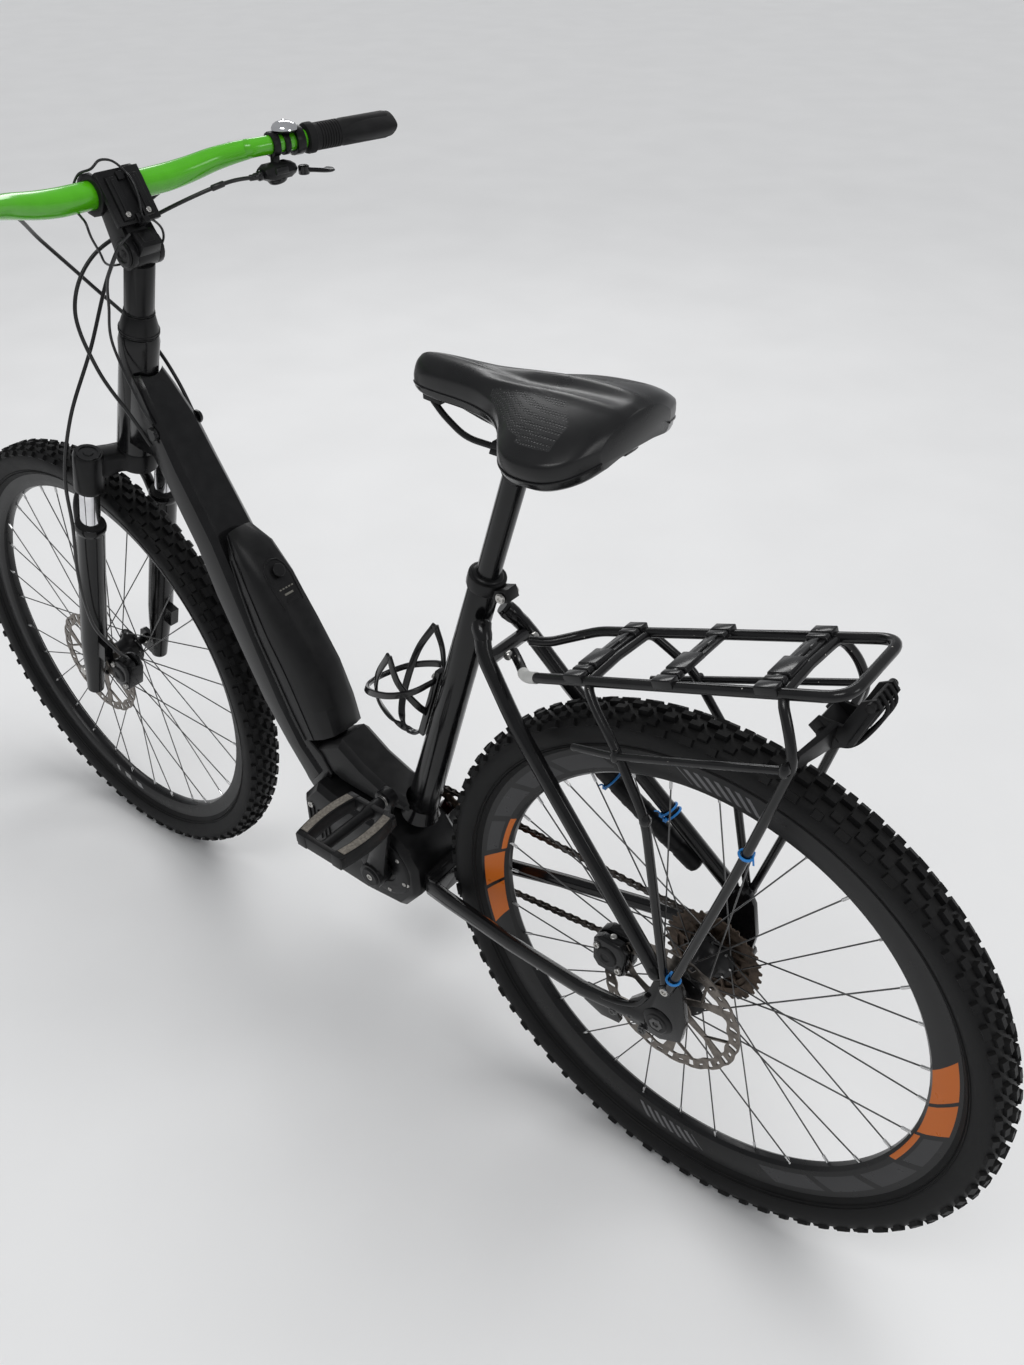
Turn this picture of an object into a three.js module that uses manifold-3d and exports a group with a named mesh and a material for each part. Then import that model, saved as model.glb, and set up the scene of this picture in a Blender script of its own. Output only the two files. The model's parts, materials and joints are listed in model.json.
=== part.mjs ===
// A low-framed, mid-motor electric bicycle with a rear rack, in millimetres.
// +X points forward, +Y to the rider's left, +Z up. The origin is on the ground, midway between the axles.
import * as THREE from 'three';
import { mergeVertices } from 'three/addons/utils/BufferGeometryUtils.js';
import Module from 'manifold-3d';

const wasm = await Module();
wasm.setup();

// Driving dimensions
const WHEELBASE = 1112;
const TYRE_RADIUS = 366;
const TYRE_HALF_WIDTH = 29;
const RIM_RADIUS = 316;
const RIM_INNER_RADIUS = 280;
const WHEEL_SIDES = 36;
const SPOKE_COUNT = 32;
const ROTOR_RADIUS = 90;
const GAP = 0.3;

const HEAD_ANGLE = 71;
const FORK_OFFSET = 45;
const LEG_SPACING = 64;
const LEG_FORWARD = 22;

const BRACKET_X = -99;
const BRACKET_Z = 312;
const SEAT_ANGLE = 72.4;
const SEAT_TUBE_LENGTH = 500;
const POST_RADIUS = 13.6;
const CRANK_LENGTH = 170;
const CRANK_LEAN = 15.3;
const CHAIN_LINE = -54;
const CHAINRING_RADIUS = 70;
const DRIVE_COG_RADIUS = 26;
const PULLEY_RADIUS = 20;

const BAR_RADIUS = 15.9;
const BAR_END_RADIUS = 11.1;
const GRIP_RADIUS = 16.5;

const RACK_RAIL_RADIUS = 5;
const RACK_HALF_WIDTH = 55;

// Colours
const BLACK = { color: 0x17181a, roughness: 0.45, metalness: 0.2 };
const RUBBER = { color: 0x1b1b1c, roughness: 0.9, metalness: 0 };
const STEEL = { color: 0x8d8a84, roughness: 0.35, metalness: 1 };
const CHROME = { color: 0xd8dadc, roughness: 0.08, metalness: 1 };
const LIME = { color: 0x55b01f, roughness: 0.25, metalness: 0.1 };
const PLASTIC = { color: 0x222326, roughness: 0.6, metalness: 0 };

// Small vector and shape helpers
const vec = (x, y, z) => new THREE.Vector3(x, y, z);
const side = (y) => (y > 0 ? 'left' : 'right');
const radians = THREE.MathUtils.degToRad;

// A closed geometry reduced to merged positions, with no zero-area faces, turned so that its faces point out.
function closed(geometry) {
  const bare = geometry.clone();
  bare.deleteAttribute('normal');
  bare.deleteAttribute('uv');
  const merged = mergeVertices(bare, 1e-3);
  const p = merged.attributes.position;
  const a = new THREE.Vector3();
  const b = new THREE.Vector3();
  const c = new THREE.Vector3();
  const kept = [];
  let volume = 0;
  for (let i = 0; i < merged.index.count; i += 3) {
    const [i0, i1, i2] = [0, 1, 2].map((k) => merged.index.getX(i + k));
    if (i0 === i1 || i1 === i2 || i2 === i0) continue;
    kept.push(i0, i1, i2);
    a.fromBufferAttribute(p, i0);
    b.fromBufferAttribute(p, i1);
    c.fromBufferAttribute(p, i2);
    volume += a.dot(b.cross(c));
  }
  if (volume < 0) kept.reverse();
  merged.setIndex(kept);
  return merged;
}

function toSolid(geometry) {
  const shell = closed(geometry);
  return new wasm.Manifold(new wasm.Mesh({
    numProp: 3,
    vertProperties: shell.attributes.position.array,
    triVerts: new Uint32Array(shell.index.array),
  }));
}

function toGeometry(solid) {
  const mesh = solid.getMesh();
  const geometry = new THREE.BufferGeometry();
  geometry.setAttribute('position', new THREE.BufferAttribute(mesh.vertProperties, 3));
  geometry.setIndex(new THREE.BufferAttribute(mesh.triVerts, 1));
  return geometry;
}

function unite(...geometries) {
  return toGeometry(geometries.map(toSolid).reduce((all, next) => all.add(next)));
}

function cut(geometry, ...tools) {
  return toGeometry(tools.map(toSolid).reduce((left, tool) => left.subtract(tool), toSolid(geometry)));
}

// The largest body of a cut shape, without the chips that the cut leaves.
function largest(geometry) {
  const bodies = toSolid(geometry).decompose();
  return toGeometry(bodies.reduce((most, body) => (body.volume() > most.volume() ? body : most)));
}

// A round bar or cone between two points.
function rod(from, to, radius, sides = 12, endRadius = radius) {
  const along = to.clone().sub(from);
  const geometry = new THREE.CylinderGeometry(endRadius, radius, along.length(), sides);
  const turn = new THREE.Quaternion().setFromUnitVectors(vec(0, 1, 0), along.clone().normalize());
  geometry.applyQuaternion(turn);
  const middle = from.clone().add(to).multiplyScalar(0.5);
  return geometry.translate(middle.x, middle.y, middle.z);
}

// A box of the given size, tilted about Y by a pitch in degrees, centred on a point.
function block(x, y, z, sizeX, sizeY, sizeZ, pitch = 0) {
  return new THREE.BoxGeometry(sizeX, sizeY, sizeZ).rotateY(radians(pitch)).translate(x, y, z);
}

// A solid of revolution about the Y axis, from [radius, y] pairs.
function lathe(profile, sides) {
  return new THREE.LatheGeometry(profile.map(([r, y]) => new THREE.Vector2(r, y)), sides);
}

// A closed ring of revolution about the Y axis.
function ring(profile, sides) {
  return lathe([...profile, profile[0]], sides);
}

// A solid of revolution about the Z axis, from [radius, z] pairs.
function column(profile, sides) {
  return lathe(profile, sides).rotateX(Math.PI / 2);
}

// A path through given points, whose steps fall exactly on them.
class Route extends THREE.Curve {
  constructor(points) {
    super();
    this.points = points;
  }

  getPoint(t) {
    const last = this.points.length - 1;
    const i = Math.min(Math.floor(t * last + 1e-6), last - 1);
    return this.points[i].clone().lerp(this.points[i + 1], t * last - i);
  }

  getPointAt(u) {
    return this.getPoint(u);
  }

  getTangentAt(u) {
    const last = this.points.length - 1;
    const i = Math.round(u * last);
    const before = this.points[Math.max(i - 1, 0)];
    const here = this.points[i];
    const after = this.points[Math.min(i + 1, last)];
    const into = here.clone().sub(before).normalize();
    const out = after.clone().sub(here).normalize();
    return into.add(out).normalize();
  }
}

function roundShape(radius, sides) {
  const shape = new THREE.Shape();
  for (let i = 0; i < sides; i += 1) {
    const turn = (2 * Math.PI * i) / sides;
    const [x, y] = [radius * Math.cos(turn), radius * Math.sin(turn)];
    if (i === 0) shape.moveTo(x, y);
    else shape.lineTo(x, y);
  }
  return shape;
}

// A tube whose straight runs meet in rounded bends.
function bentTube(corners, radius, sides, bendRadius = 25, bendSteps = 3) {
  const points = [corners[0]];
  for (let i = 1; i < corners.length - 1; i += 1) {
    const here = corners[i];
    const back = corners[i - 1].clone().sub(here);
    const on = corners[i + 1].clone().sub(here);
    const reach = Math.min(bendRadius, back.length() * 0.45, on.length() * 0.45);
    const start = here.clone().add(back.setLength(reach));
    const end = here.clone().add(on.setLength(reach));
    const bend = new THREE.QuadraticBezierCurve3(start, here, end);
    points.push(...bend.getPoints(bendSteps));
  }
  points.push(corners[corners.length - 1]);
  const extrudePath = new Route(points);
  return new THREE.ExtrudeGeometry(roundShape(radius, sides), { extrudePath, steps: points.length - 1 });
}

// A cable or hose laid in one smooth curve.
function cable(points, radius, steps, sides = 8) {
  const smooth = new THREE.CatmullRomCurve3(points, false, 'centripetal');
  const extrudePath = new Route(smooth.getSpacedPoints(steps));
  return new THREE.ExtrudeGeometry(roundShape(radius, sides), { extrudePath, steps });
}

// A skin over cross-sections that all have the same number of points.
function loft(rings) {
  const sides = rings[0].length;
  const positions = rings.flat().flatMap((p) => [p.x, p.y, p.z]);
  const index = [];
  for (let r = 0; r < rings.length - 1; r += 1) {
    for (let i = 0; i < sides; i += 1) {
      const [a, b] = [r * sides + i, r * sides + ((i + 1) % sides)];
      index.push(a, b, a + sides, b, b + sides, a + sides);
    }
  }
  for (let i = 1; i < sides - 1; i += 1) {
    const end = (rings.length - 1) * sides;
    index.push(0, i + 1, i, end, end + i, end + i + 1);
  }
  const geometry = new THREE.BufferGeometry();
  geometry.setAttribute('position', new THREE.Float32BufferAttribute(positions, 3));
  geometry.setIndex(index);
  return geometry;
}

// A rectangular section with cut corners, between a top and a bottom point of the centre plane.
function boxSection(top, bottom, topHalf, bottomHalf, corner) {
  const [tx, tz] = top;
  const [bx, bz] = bottom;
  const depth = Math.hypot(tx - bx, tz - bz);
  const at = (down, y) => vec(tx + ((bx - tx) * down) / depth, y, tz + ((bz - tz) * down) / depth);
  const half = [
    [0, topHalf - corner],
    [corner, topHalf],
    [depth - corner, bottomHalf],
    [depth, bottomHalf - corner],
  ];
  return [...half.map(([d, y]) => at(d, y)), ...half.reverse().map(([d, y]) => at(d, -y))];
}

// An oval section across a direction that lies close to the X axis.
function ovalSection(x, y, z, halfHeight, halfWidth, sides = 10) {
  return Array.from({ length: sides }, (_, i) => {
    const turn = (2 * Math.PI * i) / sides;
    return vec(x, y + halfWidth * Math.cos(turn), z + halfHeight * Math.sin(turn));
  });
}

// A plate in the XZ plane, with its outline in [x, z] pairs and its faces at two values of y.
function plate(outline, yLow, yHigh, bevel = 0) {
  const shape = new THREE.Shape(outline.map(([x, z]) => new THREE.Vector2(x, z)));
  const depth = yHigh - yLow - 2 * bevel;
  const edge = { bevelEnabled: bevel > 0, bevelSize: bevel, bevelThickness: bevel, bevelOffset: -bevel };
  const geometry = new THREE.ExtrudeGeometry(shape, { depth, bevelSegments: 1, ...edge });
  return geometry.rotateX(Math.PI / 2).translate(0, yHigh - bevel, 0);
}

// Assembly
const bicycle = new THREE.Group();

function add(name, geometry, look, parent = bicycle) {
  const mesh = new THREE.Mesh(closed(geometry), new THREE.MeshStandardMaterial(look));
  mesh.name = name;
  parent.add(mesh);
  return mesh;
}

// The steering axis: local Z runs up it, and local X forward, from the foot point beside the front axle.
const tilt = radians(90 - HEAD_ANGLE);
const steering = new THREE.Group();
steering.position.set(
  WHEELBASE / 2 - FORK_OFFSET * Math.cos(tilt),
  0,
  TYRE_RADIUS - FORK_OFFSET * Math.sin(tilt),
);
steering.rotation.y = -tilt;
bicycle.add(steering);
steering.updateMatrixWorld(true);
const onSteering = (forward, y, up) => steering.localToWorld(vec(forward, y, up));

// The seat tube axis, from the bottom bracket up.
const seatLean = radians(SEAT_ANGLE);
const onSeatTube = (up, forward = 0, y = 0) => vec(
  BRACKET_X - up * Math.cos(seatLean) + forward * Math.sin(seatLean),
  y,
  BRACKET_Z + up * Math.sin(seatLean) + forward * Math.cos(seatLean),
);

// Wheels
function tyre() {
  const w = TYRE_HALF_WIDTH;
  const profile = [
    [RIM_RADIUS + GAP, -13],
    [336, -w + 1],
    [356, -w],
    [TYRE_RADIUS, -14],
    [TYRE_RADIUS, 14],
    [356, w],
    [336, w - 1],
    [RIM_RADIUS + GAP, 13],
  ];
  return ring(profile, WHEEL_SIDES);
}

function rim() {
  const profile = [
    [RIM_INNER_RADIUS, -5],
    [300, -12.5],
    [RIM_RADIUS, -12.5],
    [RIM_RADIUS, 12.5],
    [300, 12.5],
    [RIM_INNER_RADIUS, 5],
  ];
  return ring(profile, WHEEL_SIDES);
}

// A hub shell with its axle ends and its laced spokes, one welded-together body.
function lacedHub(flange, flangeRadius, axleHalf, driveCut) {
  const body = [
    [0, -axleHalf],
    [7, -axleHalf],
    [7, -driveCut],
    [15, -driveCut],
    [flangeRadius, -flange],
    [17, -flange + 11],
    [17, flange - 11],
    [flangeRadius, flange],
    [14, flange + 4],
    [14, flange + 10],
    [7, flange + 10],
    [7, axleHalf],
    [0, axleHalf],
  ];
  const parts = [lathe(body, 14)];
  for (let i = 0; i < SPOKE_COUNT; i += 1) {
    const y = i % 2 ? flange : -flange;
    const lead = i % 4 < 2 ? 1 : -1;
    const rimTurn = (2 * Math.PI * i) / SPOKE_COUNT;
    const hubTurn = rimTurn + lead * radians(62);
    const inner = flangeRadius - 4;
    const outer = RIM_INNER_RADIUS - 2.2;
    const apart = lead * 1.3;
    const from = vec(inner * Math.cos(hubTurn), y - Math.sign(y) * 1.4 + apart, inner * Math.sin(hubTurn));
    const to = vec(outer * Math.cos(rimTurn), Math.sign(y) * 2 + apart, outer * Math.sin(rimTurn));
    parts.push(rod(from, to, 1.3, 3));
  }
  return unite(...parts);
}

function brakeDisc(hubRadius) {
  const shape = roundShape(ROTOR_RADIUS, 28);
  const windows = 5;
  for (let i = 0; i < windows; i += 1) {
    const start = (2 * Math.PI * i) / windows;
    const span = (2 * Math.PI) / windows - 0.22;
    const hole = new THREE.Path();
    hole.absarc(0, 0, ROTOR_RADIUS - 17, start, start + span, false);
    hole.absarc(0, 0, 32, start + span + 0.25, start + 0.25, true);
    hole.closePath();
    shape.holes.push(hole);
  }
  shape.holes.push(new THREE.Path(roundShape(hubRadius, 14).getPoints()));
  const flat = new THREE.ExtrudeGeometry(shape, { depth: 2, bevelEnabled: false, curveSegments: 2 });
  return flat.rotateX(Math.PI / 2).translate(0, 1, 0);
}

const WHEELS = [
  { end: 'front', x: WHEELBASE / 2, flange: 26, flangeRadius: 30, axleHalf: 49, driveCut: 28, disc: 39 },
  { end: 'rear', x: -WHEELBASE / 2, flange: 34, flangeRadius: 32, axleHalf: 73, driveCut: 36, disc: 58 },
];
for (const { end, x, flange, flangeRadius, axleHalf, driveCut, disc } of WHEELS) {
  const wheel = new THREE.Group();
  wheel.position.set(x, 0, TYRE_RADIUS);
  bicycle.add(wheel);
  add(`${end}_tyre`, tyre(), RUBBER, wheel);
  add(`${end}_rim`, rim(), BLACK, wheel);
  add(`${end}_hub_and_spokes`, lacedHub(flange, flangeRadius, axleHalf, driveCut), STEEL, wheel);
  add(`${end}_brake_disc`, brakeDisc(8), STEEL, wheel).position.y = disc;
}

// Fork
const CROWN_LOW = 430;
const CROWN_HIGH = 461;
const HEAD_LOW = 464;
const HEAD_HIGH = 641;
const SEAL_TOP = 338;

function forkUpper() {
  const parts = [rod(vec(0, 0, CROWN_LOW + 4), vec(0, 0, 669), 14.3, 12)];
  const bridge = [-60, -30, 0, 30, 60].map((y) => {
    const forward = LEG_FORWARD * Math.min(1, Math.abs(y) / 55);
    const half = y === 0 ? 26 : 19;
    const low = CROWN_LOW + (Math.abs(y) > 40 ? -8 : 0);
    return [
      vec(forward - half, y, low + 6),
      vec(forward - half + 6, y, low),
      vec(forward + half - 6, y, low),
      vec(forward + half, y, low + 6),
      vec(forward + half, y, CROWN_HIGH - 8),
      vec(forward + half - 8, y, CROWN_HIGH),
      vec(forward - half + 8, y, CROWN_HIGH),
      vec(forward - half, y, CROWN_HIGH - 8),
    ];
  });
  parts.push(loft(bridge));
  for (const y of [LEG_SPACING, -LEG_SPACING]) {
    parts.push(rod(vec(LEG_FORWARD, y, 400), vec(LEG_FORWARD, y, CROWN_HIGH + 1), 20.5, 14));
    parts.push(rod(vec(LEG_FORWARD, y, 220), vec(LEG_FORWARD, y, 410), 14, 14));
  }
  return unite(...parts);
}

function forkLowers() {
  const leg = [
    [0, -24],
    [13, -24],
    [14.5, 20],
    [20, 90],
    [20, SEAL_TOP - 12],
    [22, SEAL_TOP - 8],
    [21, SEAL_TOP],
    [14.8, SEAL_TOP],
    [14.8, 150],
    [0, 146],
  ];
  const parts = [];
  for (const y of [LEG_SPACING, -LEG_SPACING]) {
    parts.push(column(leg, 12).translate(LEG_FORWARD, y, 0));
    parts.push(block(36, y - Math.sign(y) * 9, 0, 40, 8, 40));
    parts.push(block(-2, y, 92, 22, 15, 34));
  }
  const arch = [
    vec(45, LEG_SPACING, 318),
    vec(58, 58, 352),
    vec(62, 34, 383),
    vec(62, -34, 383),
    vec(58, -58, 352),
    vec(45, -LEG_SPACING, 318),
  ];
  parts.push(bentTube(arch, 8, 8, 20, 2));
  return unite(...parts);
}

// A brake caliper body with a slot for its disc, in the plane of the disc.
function caliper(yLow, yHigh, discY, length, height) {
  const body = plate([
    [-length / 2, -height / 2 + 6],
    [-length / 2 + 6, -height / 2],
    [length / 2 - 8, -height / 2],
    [length / 2, -height / 2 + 10],
    [length / 2, height / 2 - 8],
    [length / 2 - 10, height / 2],
    [-length / 2 + 8, height / 2],
    [-length / 2, height / 2 - 12],
  ], yLow, yHigh, 3);
  return { body, slot: block(0, discY, 0, length * 2, 5, height * 2) };
}

const frontBody = caliper(28, 61, 39, 36, 54);
const frontSlot = frontBody.slot.translate(22, 0, 0);
add('fork_upper', forkUpper(), BLACK, steering);
add('fork_lowers', forkLowers(), BLACK, steering);
add('front_caliper', cut(frontBody.body, frontSlot), BLACK, steering).position.set(-36, 0, 58);

// Headset and stem
const RISER_TOP = 752;
const coneSpacer = [
  [14.7, HEAD_HIGH + 1],
  [25, HEAD_HIGH + 1],
  [25, HEAD_HIGH + 6],
  [19, 669],
  [14.7, 669],
];
add('cone_spacer', column([...coneSpacer, coneSpacer[0]], 18), BLACK, steering);

const riser = unite(
  column([[0, 670], [18.5, 670], [18.5, RISER_TOP - 14], [0, RISER_TOP - 8]], 16),
  rod(vec(0, -15, RISER_TOP), vec(0, 15, RISER_TOP), 19, 16),
);
add('stem_riser', riser, BLACK, steering);

const BAR_CENTRE = vec(299, 0, 1125);
const stemPivot = onSteering(0, 0, RISER_TOP);

function stemArm() {
  const toBar = BAR_CENTRE.clone().sub(stemPivot);
  const from = stemPivot.clone();
  const start = from.clone().addScaledVector(toBar.clone().normalize(), 8);
  const spine = loft([0, 1].map((end) => {
    const at = end ? BAR_CENTRE : start;
    const across = vec(toBar.z, 0, -toBar.x).setLength(end ? 14 : 17);
    const half = end ? 17 : 21.5;
    return [[1, 1], [1, -1], [-1, -1], [-1, 1]].map(([a, b]) => (
      vec(at.x + across.x * a, half * b, at.z + across.z * a)
    ));
  }));
  const cheeks = rod(vec(from.x, -22, from.z), vec(from.x, 22, from.z), 19, 18);
  const clamp = rod(vec(BAR_CENTRE.x, -22, BAR_CENTRE.z), vec(BAR_CENTRE.x, 22, BAR_CENTRE.z), 20.5, 16);
  const room = rod(vec(from.x, -15.4, from.z), vec(from.x, 15.4, from.z), 19.8, 18);
  const below = onSteering(0, 0, RISER_TOP - 60);
  const neck = rod(below, stemPivot, 19.4, 18);
  const boreEnd = vec(0, 60, 0);
  const bore = rod(BAR_CENTRE.clone().sub(boreEnd), BAR_CENTRE.clone().add(boreEnd), BAR_RADIUS + 0.5, 16);
  return cut(unite(spine, cheeks, clamp), room, neck, bore);
}
add('stem_arm', stemArm(), BLACK);

// Handlebar: a low riser bar, thick at the clamp and swept back to the grips.
const BAR_POINTS = [
  [299, 0, 1125, BAR_RADIUS],
  [299, 50, 1125, BAR_RADIUS],
  [297, 78, 1126, BAR_RADIUS],
  [292, 108, 1130, 15],
  [283, 142, 1137, 13.6],
  [267, 174, 1143, 12],
  [252, 202, 1146, BAR_END_RADIUS],
  [212, 372, 1149, BAR_END_RADIUS],
];

function barHalf(sign) {
  return BAR_POINTS.slice(sign > 0 ? 1 : 0).map(([x, y, z, r]) => [x, y * sign, z, r]);
}

function barSection([x, y, z, r]) {
  return Array.from({ length: 12 }, (_, i) => {
    const turn = (2 * Math.PI * i) / 12;
    return vec(x + r * Math.cos(turn), y, z + r * Math.sin(turn));
  });
}
add('handlebar', loft([...barHalf(-1).reverse(), ...barHalf(1)].map(barSection)), LIME);

// A point on the straight outer part of the bar, at a distance from the centre plane.
function onBar(y) {
  const [inner, outer] = BAR_POINTS.slice(-2);
  const share = (Math.abs(y) - inner[1]) / (outer[1] - inner[1]);
  return vec(
    inner[0] + (outer[0] - inner[0]) * share,
    y,
    inner[2] + (outer[2] - inner[2]) * share,
  );
}

// The room that the bar's outer part takes, with a running gap, for cutting what is clamped on it.
function barRoom(sign) {
  const widened = BAR_POINTS.slice(3).map(([x, y, z, r]) => [x, y * sign, z, r + 0.5]);
  const past = onBar(sign * 392);
  return loft([...widened, [past.x, past.y, past.z, BAR_END_RADIUS + 0.5]].map(barSection));
}

// A ring that wraps the bar's end, from one distance from the centre plane to another.
function barSleeve(sign, from, to, radius, sides = 12) {
  const outside = rod(onBar(sign * from), onBar(sign * to), radius, sides);
  return cut(outside, barRoom(sign));
}

// Grips: a round sleeve with a palm wing, which reaches back by these amounts along the bar.
const GRIP_WING = [[300, 17], [340, 27], [374, 25]];

for (const sign of [1, -1]) {
  const wing = loft(GRIP_WING.map(([out, reach]) => {
    const at = onBar(sign * out);
    return Array.from({ length: 10 }, (_, i) => {
      const turn = (2 * Math.PI * i) / 10;
      const back = Math.cos(turn) < 0 ? reach : GRIP_RADIUS;
      return at.clone().add(vec(back * Math.cos(turn), 0, 0.9 * GRIP_RADIUS * Math.sin(turn)));
    });
  }));
  const collar = rod(onBar(sign * 252), onBar(sign * 262), GRIP_RADIUS + 2, 14);
  const body = rod(onBar(sign * 258), onBar(sign * 374), GRIP_RADIUS, 14);
  add(`grip_${side(sign)}`, cut(unite(collar, body, wing), barRoom(sign)), RUBBER);
}

// Brake levers: a clamp and body in front of the bar, and a blade on an upright pivot.
const LEVER_PIVOT = { forward: 34, y: 214, down: 12 };

function leverPivot(sign) {
  return onBar(sign * LEVER_PIVOT.y).add(vec(LEVER_PIVOT.forward, 0, -LEVER_PIVOT.down));
}

for (const sign of [1, -1]) {
  const pivot = leverPivot(sign);
  const clampAt = onBar(sign * 241);
  const bridge = loft([0, 1].map((end) => {
    const at = end ? pivot.clone().add(vec(-6, sign * 14, 0)) : clampAt.clone().add(vec(10, 0, -4));
    return ovalSection(at.x, at.y, at.z, 9, 9, 8).map((p) => vec(p.x + (p.y - at.y) * 0.6, p.y, p.z));
  }));
  const cylinderOuter = pivot.clone().add(vec(4, sign * 22, 2));
  const cylinderInner = pivot.clone().add(vec(10, sign * -42, 6));
  const cylinder = rod(cylinderOuter, cylinderInner, 9, 10);
  const mouth = block(pivot.x + 10, pivot.y + sign * 18, pivot.z, 50, 58, 8);
  const sleeve = barSleeve(sign, 236, 247, 17);
  const body = cut(unite(sleeve, bridge, cylinder), mouth, barRoom(sign));
  add(`brake_lever_body_${side(sign)}`, largest(body), BLACK);
}

function leverBlade(sign) {
  const pivot = leverPivot(sign);
  const path = [
    [6, -2, 7],
    [14, 26, 6],
    [18, 60, 5],
    [12, 96, 5],
    [14, 118, 6],
  ];
  return loft(path.map(([forward, out, half]) => {
    const at = pivot.clone().add(vec(forward, sign * out, 0));
    return [[1, 1], [1, -1], [-1, -1], [-1, 1]].map(([a, b]) => vec(at.x + a * half, at.y, at.z + b * 3));
  }));
}
for (const sign of [1, -1]) add(`brake_lever_${side(sign)}`, leverBlade(sign), BLACK);

// Shifter: a pod that hangs under the right of the bar, with its thumb lever.
const shifterAt = onBar(-214).add(vec(-2, 8, -30));
const POD_SECTIONS = [[-26, 10], [-14, 15], [12, 15], [24, 9]];
const pod = loft(POD_SECTIONS.map(([along, half]) => (
  Array.from({ length: 8 }, (_, i) => {
    const turn = (2 * Math.PI * i) / 8;
    return shifterAt.clone().add(vec(1.2 * half * Math.cos(turn), along, 0.75 * half * Math.sin(turn)));
  })
)));
const podNeck = rod(shifterAt.clone(), onBar(-209).add(vec(-1, 0, -12)), 6, 8);
const podClamp = barSleeve(-1, 204, 213, 15);
add('shifter_body', cut(unite(pod, podNeck, podClamp), barRoom(-1)), PLASTIC);
const thumbPivot = shifterAt.clone().add(vec(-14, -34, -2));
const thumb = unite(
  rod(thumbPivot.clone().add(vec(0, 0, -6)), thumbPivot.clone().add(vec(0, 0, 4)), 7, 10),
  rod(thumbPivot.clone().add(vec(0, 0, -1)), thumbPivot.clone().add(vec(-14, -26, -4)), 5, 8, 8),
);
add('shift_lever', thumb, PLASTIC);

// Bell: a chromed dome on a strap, just inboard of the right brake clamp.
const bellAt = onBar(-225);
const dome = lathe([[0, 26], [9, 24], [15, 17], [17, 10], [6, 10], [6, 0], [0, 0]], 14);
dome.rotateX(Math.PI / 2).translate(bellAt.x, bellAt.y, bellAt.z + 13);
const strap = barSleeve(-1, 220, 227, 14.5);
add('bell', cut(unite(dome, strap), barRoom(-1)), CHROME);

// Display mount: a plate on two hooks over the bar, in front of the rider.
const MOUNT_TILT = -62;
const mountPlate = block(272, 0, 1122, 62, 58, 7, MOUNT_TILT);
const mountHooks = [-28, 28].map((y) => rod(vec(299, y - 3, 1125), vec(299, y + 3, 1125), 24, 14));
const mountBore = rod(vec(299, -70, 1125), vec(299, 70, 1125), BAR_RADIUS + 0.4, 16);
const hooked = cut(unite(mountPlate, ...mountHooks), mountBore);
const mountRoom = rod(vec(299, -22.6, 1125), vec(299, 22.6, 1125), 21.2, 16);
add('display_mount', cut(hooked, mountRoom), PLASTIC);

// Head tube and seat tube
const headTube = [
  [24, HEAD_HIGH],
  [26, HEAD_HIGH - 12],
  [25, HEAD_HIGH - 40],
  [27, HEAD_LOW + 30],
  [28, HEAD_LOW],
  [20, HEAD_LOW],
  [20, HEAD_HIGH],
];
add('head_tube', column([...headTube, headTube[0]], 20), BLACK, steering);

const SEAT_TUBE_FOOT = 78;
const POST_BORE_DEPTH = 330;

// The seat tube's half depth, fore and aft, at distances up the tube.
const SEAT_TUBE_TAPER = [[SEAT_TUBE_FOOT, 23], [190, 21.5], [320, 19.5], [SEAT_TUBE_LENGTH, 18]];

function seatTube() {
  const outside = loft(SEAT_TUBE_TAPER.map(([up, long]) => (
    Array.from({ length: 16 }, (_, i) => {
      const turn = (2 * Math.PI * i) / 16;
      return onSeatTube(up, long * Math.cos(turn), 18.5 * Math.sin(turn));
    })
  )));
  const boreFoot = onSeatTube(SEAT_TUBE_LENGTH - POST_BORE_DEPTH);
  const bore = rod(boreFoot, onSeatTube(SEAT_TUBE_LENGTH + 10), POST_RADIUS + 0.6, 16);
  return cut(outside, bore);
}
add('seat_tube', seatTube(), BLACK);

const clampBore = rod(onSeatTube(SEAT_TUBE_LENGTH - 30), onSeatTube(SEAT_TUBE_LENGTH + 20), 14.3, 16);
const clampRing = rod(onSeatTube(SEAT_TUBE_LENGTH + GAP), onSeatTube(SEAT_TUBE_LENGTH + 16), 21.5, 16);
const clampEars = block(0, 0, 0, 20, 20, 14, 90 - SEAT_ANGLE);
const earsAt = onSeatTube(SEAT_TUBE_LENGTH + 8, -27);
clampEars.translate(earsAt.x, 0, earsAt.z);
add('seat_clamp', cut(unite(clampRing, clampEars), clampBore), BLACK);

// Down tube: a deep, flat-topped box that drops steeply and then curves in to the motor.
const DOWN_TUBE = [
  [[312, 925], [352, 800], 22, 24],
  [[286, 893], [322, 797], 27, 27],
  [[258, 852], [288, 799], 32, 31],
  [[232, 803], [268, 773], 34, 35],
  [[205, 757], [245, 733], 35, 37],
  [[180, 712], [222, 691], 36, 38],
  [[152, 642], [200, 626], 37, 38],
  [[122, 567], [172, 556], 38, 37],
  [[92, 492], [140, 480], 38, 36],
  [[60, 432], [103, 420], 38, 36],
  [[30, 400], [62, 362], 38, 36],
];
const headRoom = rod(onSteering(0, 0, 400), onSteering(0, 0, 700), 28.6, 24);
const downTube = loft(DOWN_TUBE.map(([top, bottom, t, b]) => boxSection(top, bottom, t, b, 8)));
add('down_tube', cut(downTube, headRoom), BLACK);

// Battery pack, seated on the down tube, with a rounded back.
const BATTERY = [
  [[168, 727], [174, 716], 20],
  [[134, 709], [163, 689], 30],
  [[100, 672], [149, 648], 34],
  [[62, 614], [130, 590], 36],
  [[28, 560], [106, 534], 36],
  [[9, 510], [83, 482], 36],
  [[1, 470], [61, 441], 36],
];

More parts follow.
